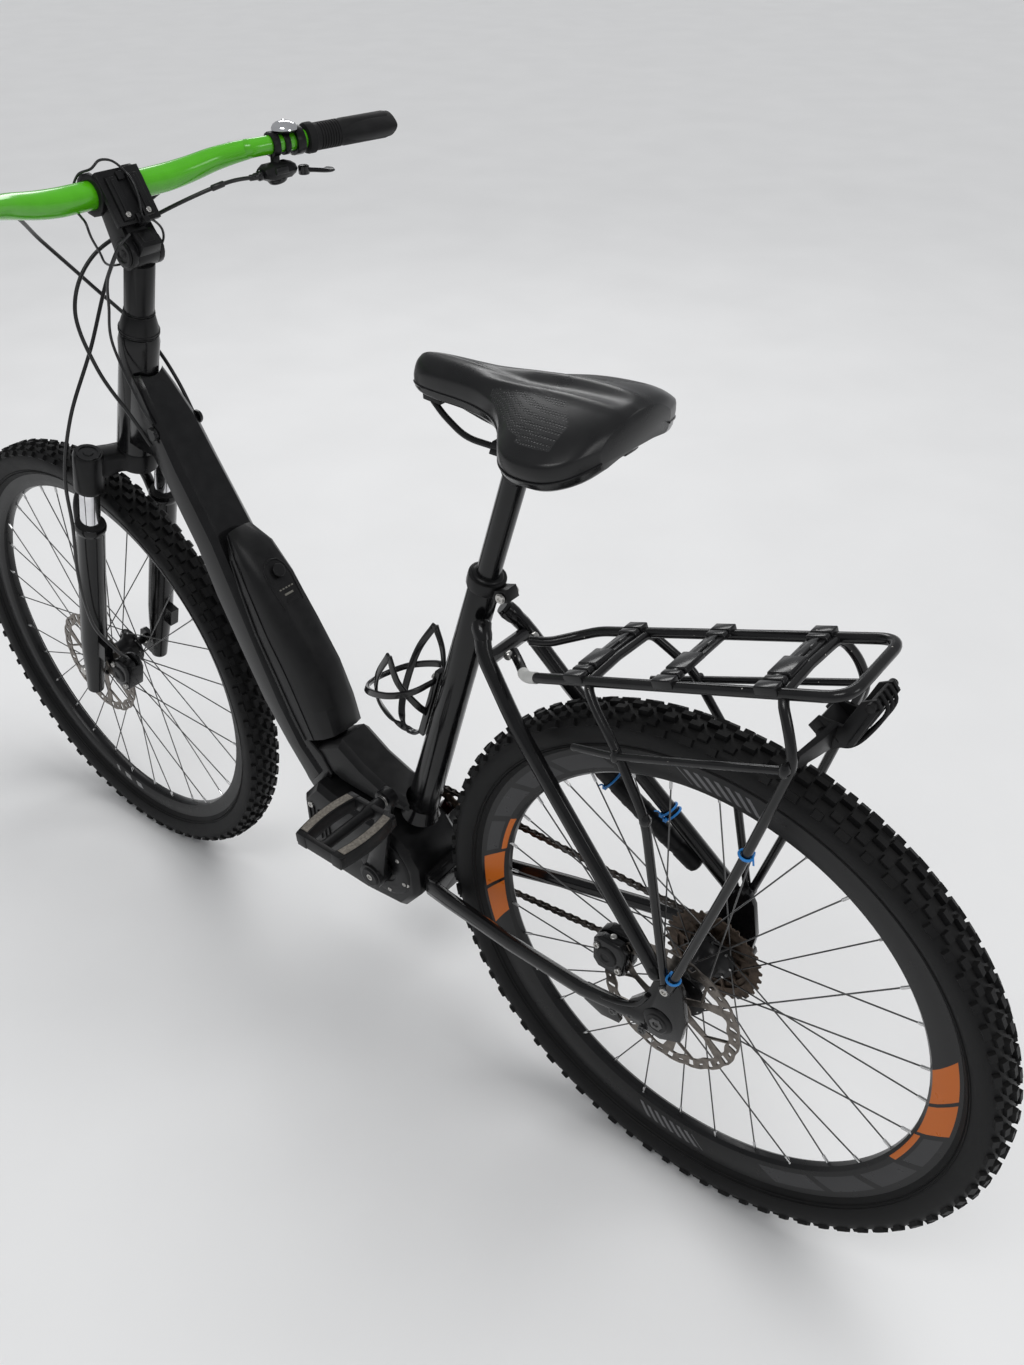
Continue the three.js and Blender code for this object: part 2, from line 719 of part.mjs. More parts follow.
function batterySection([[tx, tz], [bx, bz], half]) {
  const at = (down, y) => vec(tx + (bx - tx) * down, y, tz + (bz - tz) * down);
  const right = [[0, half * 0.35], [0.08, half * 0.72], [0.3, half * 0.97], [0.7, half], [0.99, half]];
  return [...right.map(([d, y]) => at(d, y)), ...right.reverse().map(([d, y]) => at(d, -y))];
}
const batteryShell = loft(BATTERY.map(batterySection));
const BUTTON_AT = vec(101, 0, 684);
const BUTTON_NORMAL = vec(-0.82, 0, 0.57).normalize();
const buttonHole = rod(
  BUTTON_AT.clone().addScaledVector(BUTTON_NORMAL, -9),
  BUTTON_AT.clone().addScaledVector(BUTTON_NORMAL, 20),
  7,
  12,
);
add('battery_pack', cut(batteryShell, buttonHole), PLASTIC);
const button = rod(
  BUTTON_AT.clone().addScaledVector(BUTTON_NORMAL, -7),
  BUTTON_AT.clone().addScaledVector(BUTTON_NORMAL, 0),
  6.2,
  12,
);
add('battery_button', button, PLASTIC);

// Motor and the cover that runs from the battery back to the seat tube.
const MOTOR_OUTLINE = [
  [57, 355],
  [58, 300],
  [46, 258],
  [15, 240],
  [-60, 238],
  [-128, 246],
  [-158, 285],
  [-157, 330],
  [-132, 364],
  [-96, 380],
  [0, 384],
  [26, 392],
];
const axleRoom = rod(vec(BRACKET_X, -90, BRACKET_Z), vec(BRACKET_X, 90, BRACKET_Z), 13, 14);
add('motor_unit', cut(plate(MOTOR_OUTLINE, -42, 56, 8), axleRoom), BLACK);

const COVER_OUTLINE = [
  [51, 433],
  [24, 405],
  [16, 396],
  [-2, 390],
  [-70, 387],
  [-130, 400],
  [-130, 420],
  [-86, 424],
  [-45, 440],
  [-4, 466],
];
const seatTubeRoom = rod(onSeatTube(20), onSeatTube(260), 25.5, 20);
add('motor_cover', cut(plate(COVER_OUTLINE, -30, 30, 9), seatTubeRoom), BLACK);

// Rear stays: each chain stay carries its slotted end plate, and the left one also the yoke.
const STAY_OUT = 82;
const DROPOUT = [
  [-520, 340],
  [-560, 338],
  [-586, 352],
  [-590, 385],
  [-582, 432],
  [-574, 446],
  [-560, 447],
  [-548, 436],
  [-538, 400],
  [-516, 372],
];

function chainStay(sign) {
  const y = (value) => sign * value;
  const tube = loft([
    ovalSection(-166, y(38), 298, 15, 9),
    ovalSection(-205, y(45), 303, 14, 9),
    ovalSection(-330, y(66), 322, 12, 8.5),
    ovalSection(-450, y(81), 341, 12, 8),
    ovalSection(-540, y(STAY_OUT), 358, 13, 5.5),
  ]);
  const plateLow = Math.min(y(76.5), y(84.5));
  const end = plate(DROPOUT, plateLow, plateLow + 8);
  const parts = [tube, end];
  if (sign > 0) {
    parts.push(block(-174, 0, 300, 12, 84, 34));
    parts.push(plate([[-455, 352], [-500, 358], [-505, 322], [-480, 318], [-455, 328]], 76, 84));
  }
  return unite(...parts);
}

function stayTube(sign, radius) {
  const spine = [
    vec(-262, sign * 19, 754),
    vec(-274, sign * 36, 730),
    vec(-330, sign * 49, 661),
    vec(-549.8, sign * STAY_OUT, 438.6),
  ];
  return bentTube(spine, radius, 10, 20, 2);
}
const stayBridge = rod(vec(-282, -28, 722), vec(-282, 40, 722), 8, 8);
add('seat_stay_right', stayTube(-1, 9.5), BLACK);
add('seat_stay_left', cut(unite(stayTube(1, 9.5), stayBridge), stayTube(-1, 10.2)), BLACK);
const rightYoke = block(-174, 0, 300, 14, 85, 36);
add('chain_stay_left', chainStay(1), BLACK);
add('chain_stay_right', cut(chainStay(-1), rightYoke), BLACK);

// Rear brake, between the left stays
const rearBody = caliper(40, 73, 58, 44, 50);
add('rear_caliper', cut(rearBody.body, rearBody.slot.translate(-24, 0, 0)), BLACK).position.set(-478, 0, 408);

// Drivetrain: cranks and chainring, cassette, mech and chain
const crankTurn = radians(CRANK_LEAN);
const crankTip = (sign) => vec(
  BRACKET_X - sign * CRANK_LENGTH * Math.sin(crankTurn),
  0,
  BRACKET_Z + sign * CRANK_LENGTH * Math.cos(crankTurn),
);

function crankArm(sign) {
  const tip = crankTip(sign);
  const boss = vec(BRACKET_X, 0, BRACKET_Z);
  const sections = [[boss, 72, 8, 17], [boss.clone().lerp(tip, 0.25), 74, 8, 13], [tip, 80, 7, 12]];
  const arm = loft(sections.map(([at, y, halfY, half]) => (
    [[1, 0.5], [0.5, 1], [-0.5, 1], [-1, 0.5], [-1, -0.5], [-0.5, -1], [0.5, -1], [1, -0.5]].map(([a, b]) => (
      vec(at.x + half * a, sign * y + halfY * b, at.z)
    ))
  )));
  const eye = rod(vec(tip.x, sign * 73, tip.z), vec(tip.x, sign * 87, tip.z), 14, 14);
  const hub = rod(vec(boss.x, sign * 60, boss.z), vec(boss.x, sign * 84, boss.z), 19, 14);
  const threads = rod(vec(tip.x, sign * 60, tip.z), vec(tip.x, sign * 100, tip.z), 6, 12);
  return cut(unite(arm, eye, hub), threads);
}
const spindle = rod(vec(BRACKET_X, -64, BRACKET_Z), vec(BRACKET_X, 59.5, BRACKET_Z), 11.5, 14);
add('crank_left', crankArm(1), BLACK);
add('crank_right', unite(crankArm(-1), spindle), BLACK);

function chainring() {
  const shape = roundShape(CHAINRING_RADIUS, 36);
  const arms = 4;
  for (let i = 0; i < arms; i += 1) {
    const start = (2 * Math.PI * i) / arms;
    const hole = new THREE.Path();
    hole.absarc(0, 0, 54, start, start + 1.15, false);
    hole.absarc(0, 0, 30, start + 1.05, start + 0.1, true);
    hole.closePath();
    shape.holes.push(hole);
  }
  const flat = new THREE.ExtrudeGeometry(shape, { depth: 3, bevelEnabled: false, curveSegments: 2 });
  flat.rotateX(Math.PI / 2).translate(BRACKET_X, CHAIN_LINE + 1.5, BRACKET_Z);
  const centre = rod(vec(BRACKET_X, CHAIN_LINE - 1.5, BRACKET_Z), vec(BRACKET_X, -43.5, BRACKET_Z), 18, 14);
  const bore = rod(vec(BRACKET_X, -80, BRACKET_Z), vec(BRACKET_X, -20, BRACKET_Z), 12.2, 14);
  return cut(unite(flat, centre), bore);
}
add('chainring', chainring(), STEEL);

function cassette() {
  const steps = [[66, -38.5], [55, -42], [45, -46], [36, -50], [DRIVE_COG_RADIUS, -56], [21, -61]];
  const profile = [[18, -36.5], [66, -36.5]];
  steps.forEach(([r, y], i) => {
    profile.push([r, y]);
    if (i + 1 < steps.length) profile.push([steps[i + 1][0], y]);
  });
  profile.push([18, -61]);
  return ring(profile, 18);
}
add('cassette', cassette(), STEEL).position.set(-WHEELBASE / 2, 0, TYRE_RADIUS);

const GUIDE = [-580, 316];
const TENSION = [-522, 318];
const PULLEYS = { guide_pulley: GUIDE, tension_pulley: TENSION };
for (const [name, [x, z]] of Object.entries(PULLEYS)) {
  const wheel = rod(vec(x, CHAIN_LINE - 2, z), vec(x, CHAIN_LINE + 2, z), PULLEY_RADIUS - 2, 16);
  const bore = rod(vec(x, -80, z), vec(x, -20, z), 3.4, 8);
  add(name, cut(wheel, bore), PLASTIC);
}

// The mech: a cage plate outboard of the pulleys, hung by its link from a knuckle on the end plate.
function mech() {
  const yOut = CHAIN_LINE - 5;
  const cage = plate([
    [GUIDE[0] - 11, GUIDE[1] + 6],
    [GUIDE[0] - 8, GUIDE[1] - 10],
    [TENSION[0] + 6, TENSION[1] - 11],
    [TENSION[0] + 11, TENSION[1] + 2],
    [TENSION[0] + 2, TENSION[1] + 10],
    [GUIDE[0] + 4, GUIDE[1] + 11],
  ], yOut - 3, yOut);
  const pins = [GUIDE, TENSION].map(([x, z]) => rod(vec(x, yOut - 2, z), vec(x, CHAIN_LINE + 3, z), 2.9, 8));
  const link = rod(vec(GUIDE[0], yOut - 1, GUIDE[1]), vec(-572, -95, 326), 8.5, 8);
  const knuckle = rod(vec(-572, -87, 330), vec(-572, -104, 330), 12, 12);
  return unite(cage, ...pins, link, knuckle);
}
add('rear_derailleur', mech(), BLACK);

// The chain is a belt round four wheels, in the order of travel. A negative radius is wrapped from outside.
const CHAIN_HALF = 3.6;
const CHAIN_WHEELS = [
  [BRACKET_X, BRACKET_Z, CHAINRING_RADIUS + 4.2, 16],
  [-WHEELBASE / 2, TYRE_RADIUS, DRIVE_COG_RADIUS + 4.2, 7],
  [GUIDE[0], GUIDE[1], -(PULLEY_RADIUS + 2.4), 1],
  [TENSION[0], TENSION[1], PULLEY_RADIUS + 2.4, 3],
];

function chainLoop(offset) {
  const count = CHAIN_WHEELS.length;
  const headings = CHAIN_WHEELS.map(([x, z, radius], i) => {
    const [nextX, nextZ, nextRadius] = CHAIN_WHEELS[(i + 1) % count];
    const bearing = Math.atan2(nextZ - z, nextX - x);
    return bearing - Math.asin((nextRadius - radius) / Math.hypot(nextX - x, nextZ - z));
  });
  return CHAIN_WHEELS.flatMap(([x, z, radius, steps], i) => {
    const start = headings[(i + count - 1) % count];
    const turn = Math.sign(radius) * 2 * Math.PI;
    const sweep = ((headings[i] - start) % turn + turn) % turn;
    return Array.from({ length: steps + 1 }, (_, k) => {
      const heading = start + (sweep * k) / steps;
      const reach = radius + offset;
      return new THREE.Vector2(x + reach * Math.sin(heading), z - reach * Math.cos(heading));
    });
  });
}

function chain() {
  const shape = new THREE.Shape(chainLoop(CHAIN_HALF));
  shape.holes.push(new THREE.Path(chainLoop(-CHAIN_HALF)));
  const flat = new THREE.ExtrudeGeometry(shape, { depth: 7, bevelEnabled: false });
  return flat.rotateX(Math.PI / 2).translate(0, CHAIN_LINE + 3.5, 0);
}
add('chain', chain(), STEEL);

// Pedals: a cage of two tread bars, two end bars and a centre barrel on the spindle.
const PEDAL = { inner: 103, outer: 199, half: 44, height: 22 };

function pedal(sign) {
  const tip = crankTip(sign);
  const y = (value) => sign * value;
  const middle = (PEDAL.inner + PEDAL.outer) / 2;
  const width = PEDAL.outer - PEDAL.inner;
  const parts = [
    block(tip.x - PEDAL.half + 9, y(middle), tip.z, 18, width, PEDAL.height),
    block(tip.x + PEDAL.half - 9, y(middle), tip.z, 18, width, PEDAL.height),
    block(tip.x, y(PEDAL.outer - 4), tip.z, 2 * PEDAL.half, 8, PEDAL.height * 0.8),
    block(tip.x, y(PEDAL.inner + 4), tip.z, 2 * PEDAL.half, 8, PEDAL.height * 0.8),
    rod(vec(tip.x, y(88), tip.z), vec(tip.x, y(PEDAL.outer - 3), tip.z), 9, 12),
    rod(vec(tip.x, y(76), tip.z), vec(tip.x, y(90), tip.z), 5.5, 12),
  ];
  return unite(...parts);
}
add('pedal_left', pedal(1), PLASTIC);
add('pedal_right', pedal(-1), PLASTIC);

// Seat post, saddle rails and saddle
const POST_TOP = 655;
const post = unite(
  rod(onSeatTube(260), onSeatTube(POST_TOP), POST_RADIUS, 16),
  rod(vec(-304, -14, 945), vec(-304, 14, 945), 16, 12),
);
add('seat_post', post, BLACK);

const RAIL_Z = 969;
const railPath = (sign) => [
  vec(-198, sign * 10, 992),
  vec(-216, sign * 15, 982),
  vec(-250, sign * 22, RAIL_Z),
  vec(-356, sign * 22, RAIL_Z),
  vec(-396, sign * 34, 978),
];
const rails = [1, -1].map((sign) => bentTube(railPath(sign), 3.5, 6, 14, 1));
const railCradle = block(-304, 0, RAIL_Z, 44, 56, 14);
add('saddle_rails', unite(...rails, railCradle), STEEL);

// Stations along the saddle: x, half width, underside, upper edge of the side, crown
const SADDLE = [
  [-172, 5, 1005, 1012, 1021],
  [-180, 14, 1000, 1018, 1033],
  [-206, 20, 998, 1024, 1039],
  [-255, 24, 997, 1024, 1040],
  [-295, 34, 995, 1022, 1040],
  [-325, 58, 990, 1018, 1040],
  [-350, 84, 986, 1015, 1041],
  [-380, 101, 983, 1013, 1042],
  [-408, 101, 984, 1013, 1042],
  [-427, 86, 988, 1017, 1040],
  [-437, 56, 996, 1020, 1036],
];
const saddle = loft(SADDLE.map(([x, half, low, brow, high]) => {
  const shoulder = brow + 0.45 * (high - brow);
  const right = [[0.28, high], [0.68, shoulder], [0.95, brow], [1, brow - 7], [1, low + 4], [0.86, low]];
  const half2 = right.map(([share, z]) => [share * half, z]);
  return [
    ...half2.map(([y, z]) => vec(x, y, z)),
    ...half2.reverse().map(([y, z]) => vec(x, -y, z)),
  ];
}));
add('saddle', saddle, BLACK);

// Rear rack: one welded frame of a deck loop, three straps, two leg hoops and two side rails.
const RACK = {
  front: vec(-367, RACK_HALF_WIDTH, 745),
  rear: vec(-690, RACK_HALF_WIDTH, 865),
};
const onDeck = (x, y, lift = 0) => {
  const share = (x - RACK.front.x) / (RACK.rear.x - RACK.front.x);
  return vec(x, y, RACK.front.z + (RACK.rear.z - RACK.front.z) * share + lift);
};
const STRAPS = [-414, -516, -619];

function rack() {
  const flip = (points) => points.map((p) => vec(p.x, -p.y, p.z));
  const halfDeck = [
    vec(-300, 14, 728),
    vec(-318, 26, 726),
    vec(-344, 50, 733),
    RACK.front,
    onDeck(-640, RACK_HALF_WIDTH),
    RACK.rear,
    vec(RACK.rear.x, -6, RACK.rear.z),
  ];
  const frontHoop = [
    vec(-426, -4, 767),
    vec(-428, 58, 766),
    vec(-446, 68, 748),
    vec(-472, 76, 727),
    vec(-521, 84, 653),
    vec(-564, 91, 440),
  ];
  const rearHoop = [
    vec(-630, -4, 843),
    vec(-632, 58, 842),
    vec(-648, 70, 820),
    vec(-660, 76, 790),
    vec(-624, 84, 640),
    vec(-570, 93, 440),
  ];
  const sideRail = [vec(-424, 74, 694), vec(-480, 81, 714), vec(-655, 82, 786)];
  const parts = [];
  for (const turn of [(p) => p, flip]) {
    parts.push(bentTube(turn(halfDeck), RACK_RAIL_RADIUS, 7, 24, 2));
    parts.push(bentTube(turn(frontHoop), 4.5, 6, 18, 1));
    parts.push(bentTube(turn(rearHoop), 4.5, 6, 18, 1));
    parts.push(bentTube(turn(sideRail), 3.5, 6, 10, 1));
  }
  const slope = THREE.MathUtils.radToDeg(Math.atan2(RACK.rear.z - RACK.front.z, RACK.front.x - RACK.rear.x));
  for (const x of STRAPS) {
    const at = onDeck(x, 0, 7);
    parts.push(block(at.x, 0, at.z, 24, 2 * RACK_HALF_WIDTH + 12, 6, slope));
  }
  for (const sign of [1, -1]) {
    const eye = vec(-567, sign * 91.5, 438);
    parts.push(rod(eye.clone().add(vec(0, -5.5, 0)), eye.clone().add(vec(0, 5.5, 0)), 8, 10));
  }
  return unite(...parts);
}
add('rear_rack', rack(), BLACK);

const lampPlate = [
  [-648, 812],
  [-640, 792],
  [-668, 772],
  [-690, 790],
  [-712, 842],
  [-702, 850],
  [-684, 838],
];
add('rear_lamp_bracket', plate(lampPlate, -26, 26, 4), PLASTIC);

// A hand pump tied along the right seat stay
add('frame_pump', rod(vec(-372, -52, 560), vec(-505, -76, 452), 12, 12), PLASTIC);

// Bottle cage on the front of the seat tube: a spine with two bolts, a hoop that falls toward the
// front, and a band each side that rises to a peak and passes under the bottle.
// Each point is how far up the seat tube, how far ahead of it, and how far to the side.
const CAGE_SPINE = [[222, 27], [336, 27]];
const CAGE_HOOP = [[322, 27, 7], [310, 38, 32], [290, 62, 43], [262, 96, 36], [240, 118, 14]];
const CAGE_BAND = [
  [262, 27, 5], [286, 33, 24], [318, 55, 42], [346, 76, 41], [300, 89, 38], [255, 89, 29],
  [218, 78, 13], [203, 60, 0], [207, 40, 0], [228, 27, 0],
];

function bottleCage() {
  const across = (points, sign) => points.map(([up, ahead, side]) => onSeatTube(up, ahead, sign * side));
  const hoop = [...across(CAGE_HOOP, 1), ...across(CAGE_HOOP, -1).reverse()];
  const tubes = [hoop, across(CAGE_BAND, 1), across(CAGE_BAND, -1)].map((path) => bentTube(path, 3.8, 6, 1, 1));
  return unite(...tubes, rod(onSeatTube(...CAGE_SPINE[0]), onSeatTube(...CAGE_SPINE[1]), 4.2, 8));
}
add('bottle_cage', bottleCage(), PLASTIC);

// Brake hoses, gear cable and the display's wire, held by the bicycle along their whole routes
const rightPivot = leverPivot(-1);
const leftPivot = leverPivot(1);
const frontHose = [
  rightPivot.clone().add(vec(11, 44, 7)),
  vec(310, -120, 1122),
  vec(348, -70, 1085),
  vec(368, -20, 1020),
  vec(374, 30, 930),
  vec(386, 74, 850),
  vec(400, 96, 770),
  vec(412, 98, 690),
  vec(436, 97, 600),
  vec(450, 88, 510),
  vec(451, 66, 455),
  vec(452, 48, 424),
];
add('front_brake_hose', cable(frontHose, 2.5, 28), RUBBER);

const rearHose = [
  leftPivot.clone().add(vec(11, -44, 7)),
  vec(318, 120, 1120),
  vec(372, 62, 1070),
  vec(385, 5, 1005),
  vec(352, -38, 935),
  vec(308, -44, 880),
  vec(262, -39, 808),
  vec(250, -38.2, 792),
];
add('rear_brake_hose', cable(rearHose, 2.5, 22), RUBBER);

const gearCable = [
  shifterAt.clone().add(vec(0, 26, -2)),
  vec(262, -130, 1112),
  vec(318, -60, 1080),
  vec(352, 10, 1045),
  vec(352, 52, 990),
  vec(330, 54, 920),
  vec(292, 44, 860),
  vec(272, 38.5, 826),
];
add('gear_cable', cable(gearCable, 2.5, 22), RUBBER);

const displayWire = [
  vec(252, 20, 1087),
  vec(255, 38, 1074),
  vec(272, 48, 1040),
  vec(296, 40, 1000),
  vec(312, 36, 950),
  vec(280, 38, 884),
  vec(262, 37.5, 858),
];
add('display_wire', cable(displayWire, 1.8, 20), RUBBER);

export default bicycle;
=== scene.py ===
"""A pedal-assist bicycle with a rear rack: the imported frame, dressed with detailed pieces."""
import json
import math

import bmesh
import bpy
from mathutils import Matrix, Vector


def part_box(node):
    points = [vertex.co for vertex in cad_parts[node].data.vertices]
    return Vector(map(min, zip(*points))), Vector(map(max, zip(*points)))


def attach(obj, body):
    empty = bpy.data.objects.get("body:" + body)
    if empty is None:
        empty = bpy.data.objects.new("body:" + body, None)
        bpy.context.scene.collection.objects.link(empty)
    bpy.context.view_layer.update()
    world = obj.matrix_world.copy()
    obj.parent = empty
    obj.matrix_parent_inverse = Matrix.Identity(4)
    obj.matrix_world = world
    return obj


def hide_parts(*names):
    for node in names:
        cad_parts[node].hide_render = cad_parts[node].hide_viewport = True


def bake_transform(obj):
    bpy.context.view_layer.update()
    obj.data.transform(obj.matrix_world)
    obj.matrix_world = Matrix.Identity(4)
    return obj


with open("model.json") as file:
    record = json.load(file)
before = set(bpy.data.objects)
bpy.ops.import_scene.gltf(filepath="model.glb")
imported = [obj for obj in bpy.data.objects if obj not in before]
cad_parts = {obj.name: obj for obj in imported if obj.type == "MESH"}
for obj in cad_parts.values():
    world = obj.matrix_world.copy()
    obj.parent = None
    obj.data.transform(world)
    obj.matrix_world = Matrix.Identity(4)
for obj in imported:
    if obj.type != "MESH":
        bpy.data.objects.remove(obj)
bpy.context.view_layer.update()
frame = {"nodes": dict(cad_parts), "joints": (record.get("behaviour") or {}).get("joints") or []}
nodes = frame["nodes"]
scene = bpy.context.scene
MM = 0.001
TAU = 2 * math.pi


# ---------------------------------------------------------------- mesh code
def vec(x, y, z):
    return Vector((x, y, z))


def spot(r, t, y=0):
    """A place at a radius and an angle round a sideways axis."""
    return vec(r * math.cos(t), y, r * math.sin(t))


def turns(count, start=0.0):
    """Evenly spaced angles round a circle."""
    return [TAU * i / count + start for i in range(count)]


def joint_at(child):
    """The place of the joint that carries a body, in millimetres."""
    return Vector(next(j for j in frame["joints"] if j["child"] == child)["pos_m"]) / MM


def boxy(value, power):
    """A sine or cosine pushed outwards, for sections with full corners."""
    return math.copysign(abs(value) ** power, value)


class Shape:
    """Vertices and faces in millimetres, gathered from several simple forms."""

    def __init__(self):
        self.points = []
        self.faces = []
        self.slots = []

    def add(self, points, faces, slot=0):
        base = len(self.points)
        self.points += [Vector(p) for p in points]
        self.faces += [[base + i for i in face] for face in faces]
        self.slots += [slot] * len(faces)
        return self

    def rings(self, rings, slot=0, closed=False):
        """A skin over rings of equal size."""
        sides = len(rings[0])
        points = [p for ring in rings for p in ring]
        faces = []
        spans = len(rings) if closed else len(rings) - 1
        for r in range(spans):
            for i in range(sides):
                a, b = r * sides + i, r * sides + (i + 1) % sides
                c, d = (r + 1) % len(rings) * sides + (i + 1) % sides, (r + 1) % len(rings) * sides + i
                faces.append([a, b, c, d])
        if not closed:
            faces.append(list(range(sides))[::-1])
            faces.append([(len(rings) - 1) * sides + i for i in range(sides)])
        return self.add(points, faces, slot)

    def plate(self, outline, places, slot=0):
        """A plate from its outline [x, z] in the side view and its places across."""
        return self.rings([[vec(x, y, z) for x, z in outline] for y in places], slot)

    def revolve(self, profile, sides, slot=0, centre=(0, 0, 0), axis="Y", closed=True):
        """A form of revolution from [radius, place along the axis] pairs."""
        rings = []
        for turn in turns(sides):
            if axis == "Y":
                ring = [spot(r, turn, a) for r, a in profile]
            else:
                ring = [vec(r * math.cos(turn), r * math.sin(turn), a) for r, a in profile]
            rings.append([p + Vector(centre) for p in ring])
        count = len(profile)
        points = [p for ring in rings for p in ring]
        faces = []
        edges = count if closed else count - 1
        for i in range(sides):
            for j in range(edges):
                a, b = i * count + j, i * count + (j + 1) % count
                c, d = (i + 1) % sides * count + (j + 1) % count, (i + 1) % sides * count + j
                faces.append([a, b, c, d])
        return self.add(points, faces, slot)

    def turned(self, start, end, profile, sides=24, slot=0):
        """A turned form between two points, from [radius, share of the length] pairs."""
        start, end = Vector(start), Vector(end)
        turn = (end - start).to_track_quat("Z", "Y").to_matrix()
        length = (end - start).length
        rings = []
        for r, share in profile:
            rings.append([start + turn @ vec(r * math.cos(t), r * math.sin(t), share * length)
                          for t in turns(sides)])
        return self.rings(rings, slot)

    def rod(self, start, end, radius, sides=24, slot=0, bevel=0.0):
        length = (Vector(end) - Vector(start)).length
        b = bevel / length
        if not bevel:
            return self.turned(start, end, [[radius, 0], [radius, 1]], sides, slot)
        profile = [[radius - bevel, 0], [radius - bevel * 0.3, b * 0.3], [radius, b]]
        profile += [[radius, 1 - b], [radius - bevel * 0.3, 1 - b * 0.3], [radius - bevel, 1]]
        return self.turned(start, end, profile, sides, slot)

    def box(self, centre, size, turn=None, taper=1.0, slot=0):
        """A box whose top face may be smaller; turn is a 3x3 matrix."""
        turn = turn or Matrix.Identity(3)
        sx, sy, sz = (s / 2 for s in size)
        corners = []
        for z, k in ((-sz, 1.0), (sz, taper)):
            corners += [(a * sx * k, b * sy * k, z) for a, b in ((-1, -1), (1, -1), (1, 1), (-1, 1))]
        points = [Vector(centre) + turn @ Vector(c) for c in corners]
        faces = [[3, 2, 1, 0], [4, 5, 6, 7], [0, 1, 5, 4], [1, 2, 6, 5], [2, 3, 7, 6], [3, 0, 4, 7]]
        return self.add(points, faces, slot)

    def tube(self, points, radius, sides=16, slot=0, closed=False):
        """A round tube along a path; radius is one number or one for each point."""
        points = [Vector(p) for p in points]
        radii = radius if isinstance(radius, (list, tuple)) else [radius] * len(points)
        count = len(points)
        tangents = []
        for i in range(count):
            before = points[i - 1] if i or closed else points[i]
            after = points[(i + 1) % count] if i + 1 < count or closed else points[i]
            tangents.append((after - before).normalized())
        start = Vector((0, 0, 1)) if abs(tangents[0].z) < 0.9 else Vector((1, 0, 0))
        normal = (start - tangents[0] * start.dot(tangents[0])).normalized()
        rings = []
        for i, (p, t) in enumerate(zip(points, tangents)):
            if i:
                turn = tangents[i - 1].rotation_difference(t)
                normal = (turn @ normal).normalized()
            side = t.cross(normal).normalized()
            rings.append([
                p + (normal * math.cos(TAU * k / sides) + side * math.sin(TAU * k / sides)) * radii[i]
                for k in range(sides)
            ])
        return self.rings(rings, slot, closed=closed)


def smooth_path(points, steps=8):
    """A Catmull-Rom curve through points."""
    points = [Vector(p) for p in points]
    count = len(points)
    out = []
    for i in range(count - 1):
        p1, p2 = points[i], points[i + 1]
        p0 = points[i - 1] if i else p1 * 2 - p2
        p3 = points[i + 2] if i + 2 < count else p2 * 2 - p1
        for k in range(steps):
            t = k / steps
            out.append(
                0.5 * ((2 * p1) + (p2 - p0) * t + (2 * p0 - 5 * p1 + 4 * p2 - p3) * t * t
                       + (3 * p1 - p0 - 3 * p2 + p3) * t ** 3)
            )
    out.append(points[-1])
    return out


def bent_path(corners, reach=25, steps=8):
    """Straight runs joined by rounded bends."""
    corners = [Vector(c) for c in corners]
    out = [corners[0]]
    for i in range(1, len(corners) - 1):
        here, back, on = corners[i], corners[i - 1] - corners[i], corners[i + 1] - corners[i]
        r = min(reach, back.length * 0.45, on.length * 0.45)
        a, b = here + back.normalized() * r, here + on.normalized() * r
        for k in range(steps + 1):
            t = k / steps
            out.append(a * (1 - t) ** 2 + here * 2 * t * (1 - t) + b * t * t)
    out.append(corners[-1])
    return out


def finish_mesh(obj, angle=38.0, bevel=0.0, weld=False):
    """Smooth faces, with the edges past an angle kept crisp and, if asked, rounded."""
    for polygon in obj.data.polygons:
        polygon.use_smooth = True
    if weld:
        if "custom_normal" in obj.data.attributes:
            obj.data.attributes.remove(obj.data.attributes["custom_normal"])
        obj.modifiers.new("weld", "WELD").merge_threshold = 2e-5
        flat = obj.modifiers.new("flat", "DECIMATE")
        flat.decimate_type = "DISSOLVE"
        flat.angle_limit = math.radians(1.0)
    if bevel:
        edge = obj.modifiers.new("bevel", "BEVEL")
        edge.width = bevel * MM
        edge.segments = 2
        edge.limit_method = "ANGLE"
        edge.angle_limit = math.radians(angle)
        edge.miter_outer = "MITER_ARC"
        edge.harden_normals = False
    split = obj.modifiers.new("crisp", "EDGE_SPLIT")
    split.split_angle = math.radians(angle if not bevel else 50)
    split.use_edge_sharp = False
    return obj


def piece(name, shape, materials, body, replaces=(), at=(0, 0, 0), **finish):
    """A named object from a shape in millimetres, with its materials, on its body."""
    mesh = bpy.data.meshes.new(name)
    mesh.from_pydata([p * MM for p in shape.points], [], shape.faces)
    mesh.update()
    materials = materials if isinstance(materials, (list, tuple)) else [materials]
    for material in materials:
        mesh.materials.append(material)
    for polygon, slot in zip(mesh.polygons, shape.slots):
        polygon.material_index = slot
    work = bmesh.new()
    work.from_mesh(mesh)
    bmesh.ops.recalc_face_normals(work, faces=work.faces)
    work.to_mesh(mesh)
    work.free()
    obj = bpy.data.objects.new(name, mesh)
    scene.collection.objects.link(obj)
    obj.location = Vector(at) * MM
    finish_mesh(obj, **finish)
    if body:
        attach(obj, body)
    if replaces:
        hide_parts(*([replaces] if isinstance(replaces, str) else replaces))
    return obj


# ---------------------------------------------------------------- materials
def wire(tree, a, b):
    tree.links.new(a, b)


def node(tree, kind, settings=None, **attributes):
    """A shader node; each setting is an input's value or the socket wired to it."""
    made = tree.nodes.new("ShaderNode" + kind)
    for key, value in attributes.items():
        setattr(made, key, value)
    for key, value in (settings or {}).items():
        if isinstance(value, bpy.types.NodeSocket):
            wire(tree, value, made.inputs[key])
        else:
            made.inputs[key].default_value = value
    return made


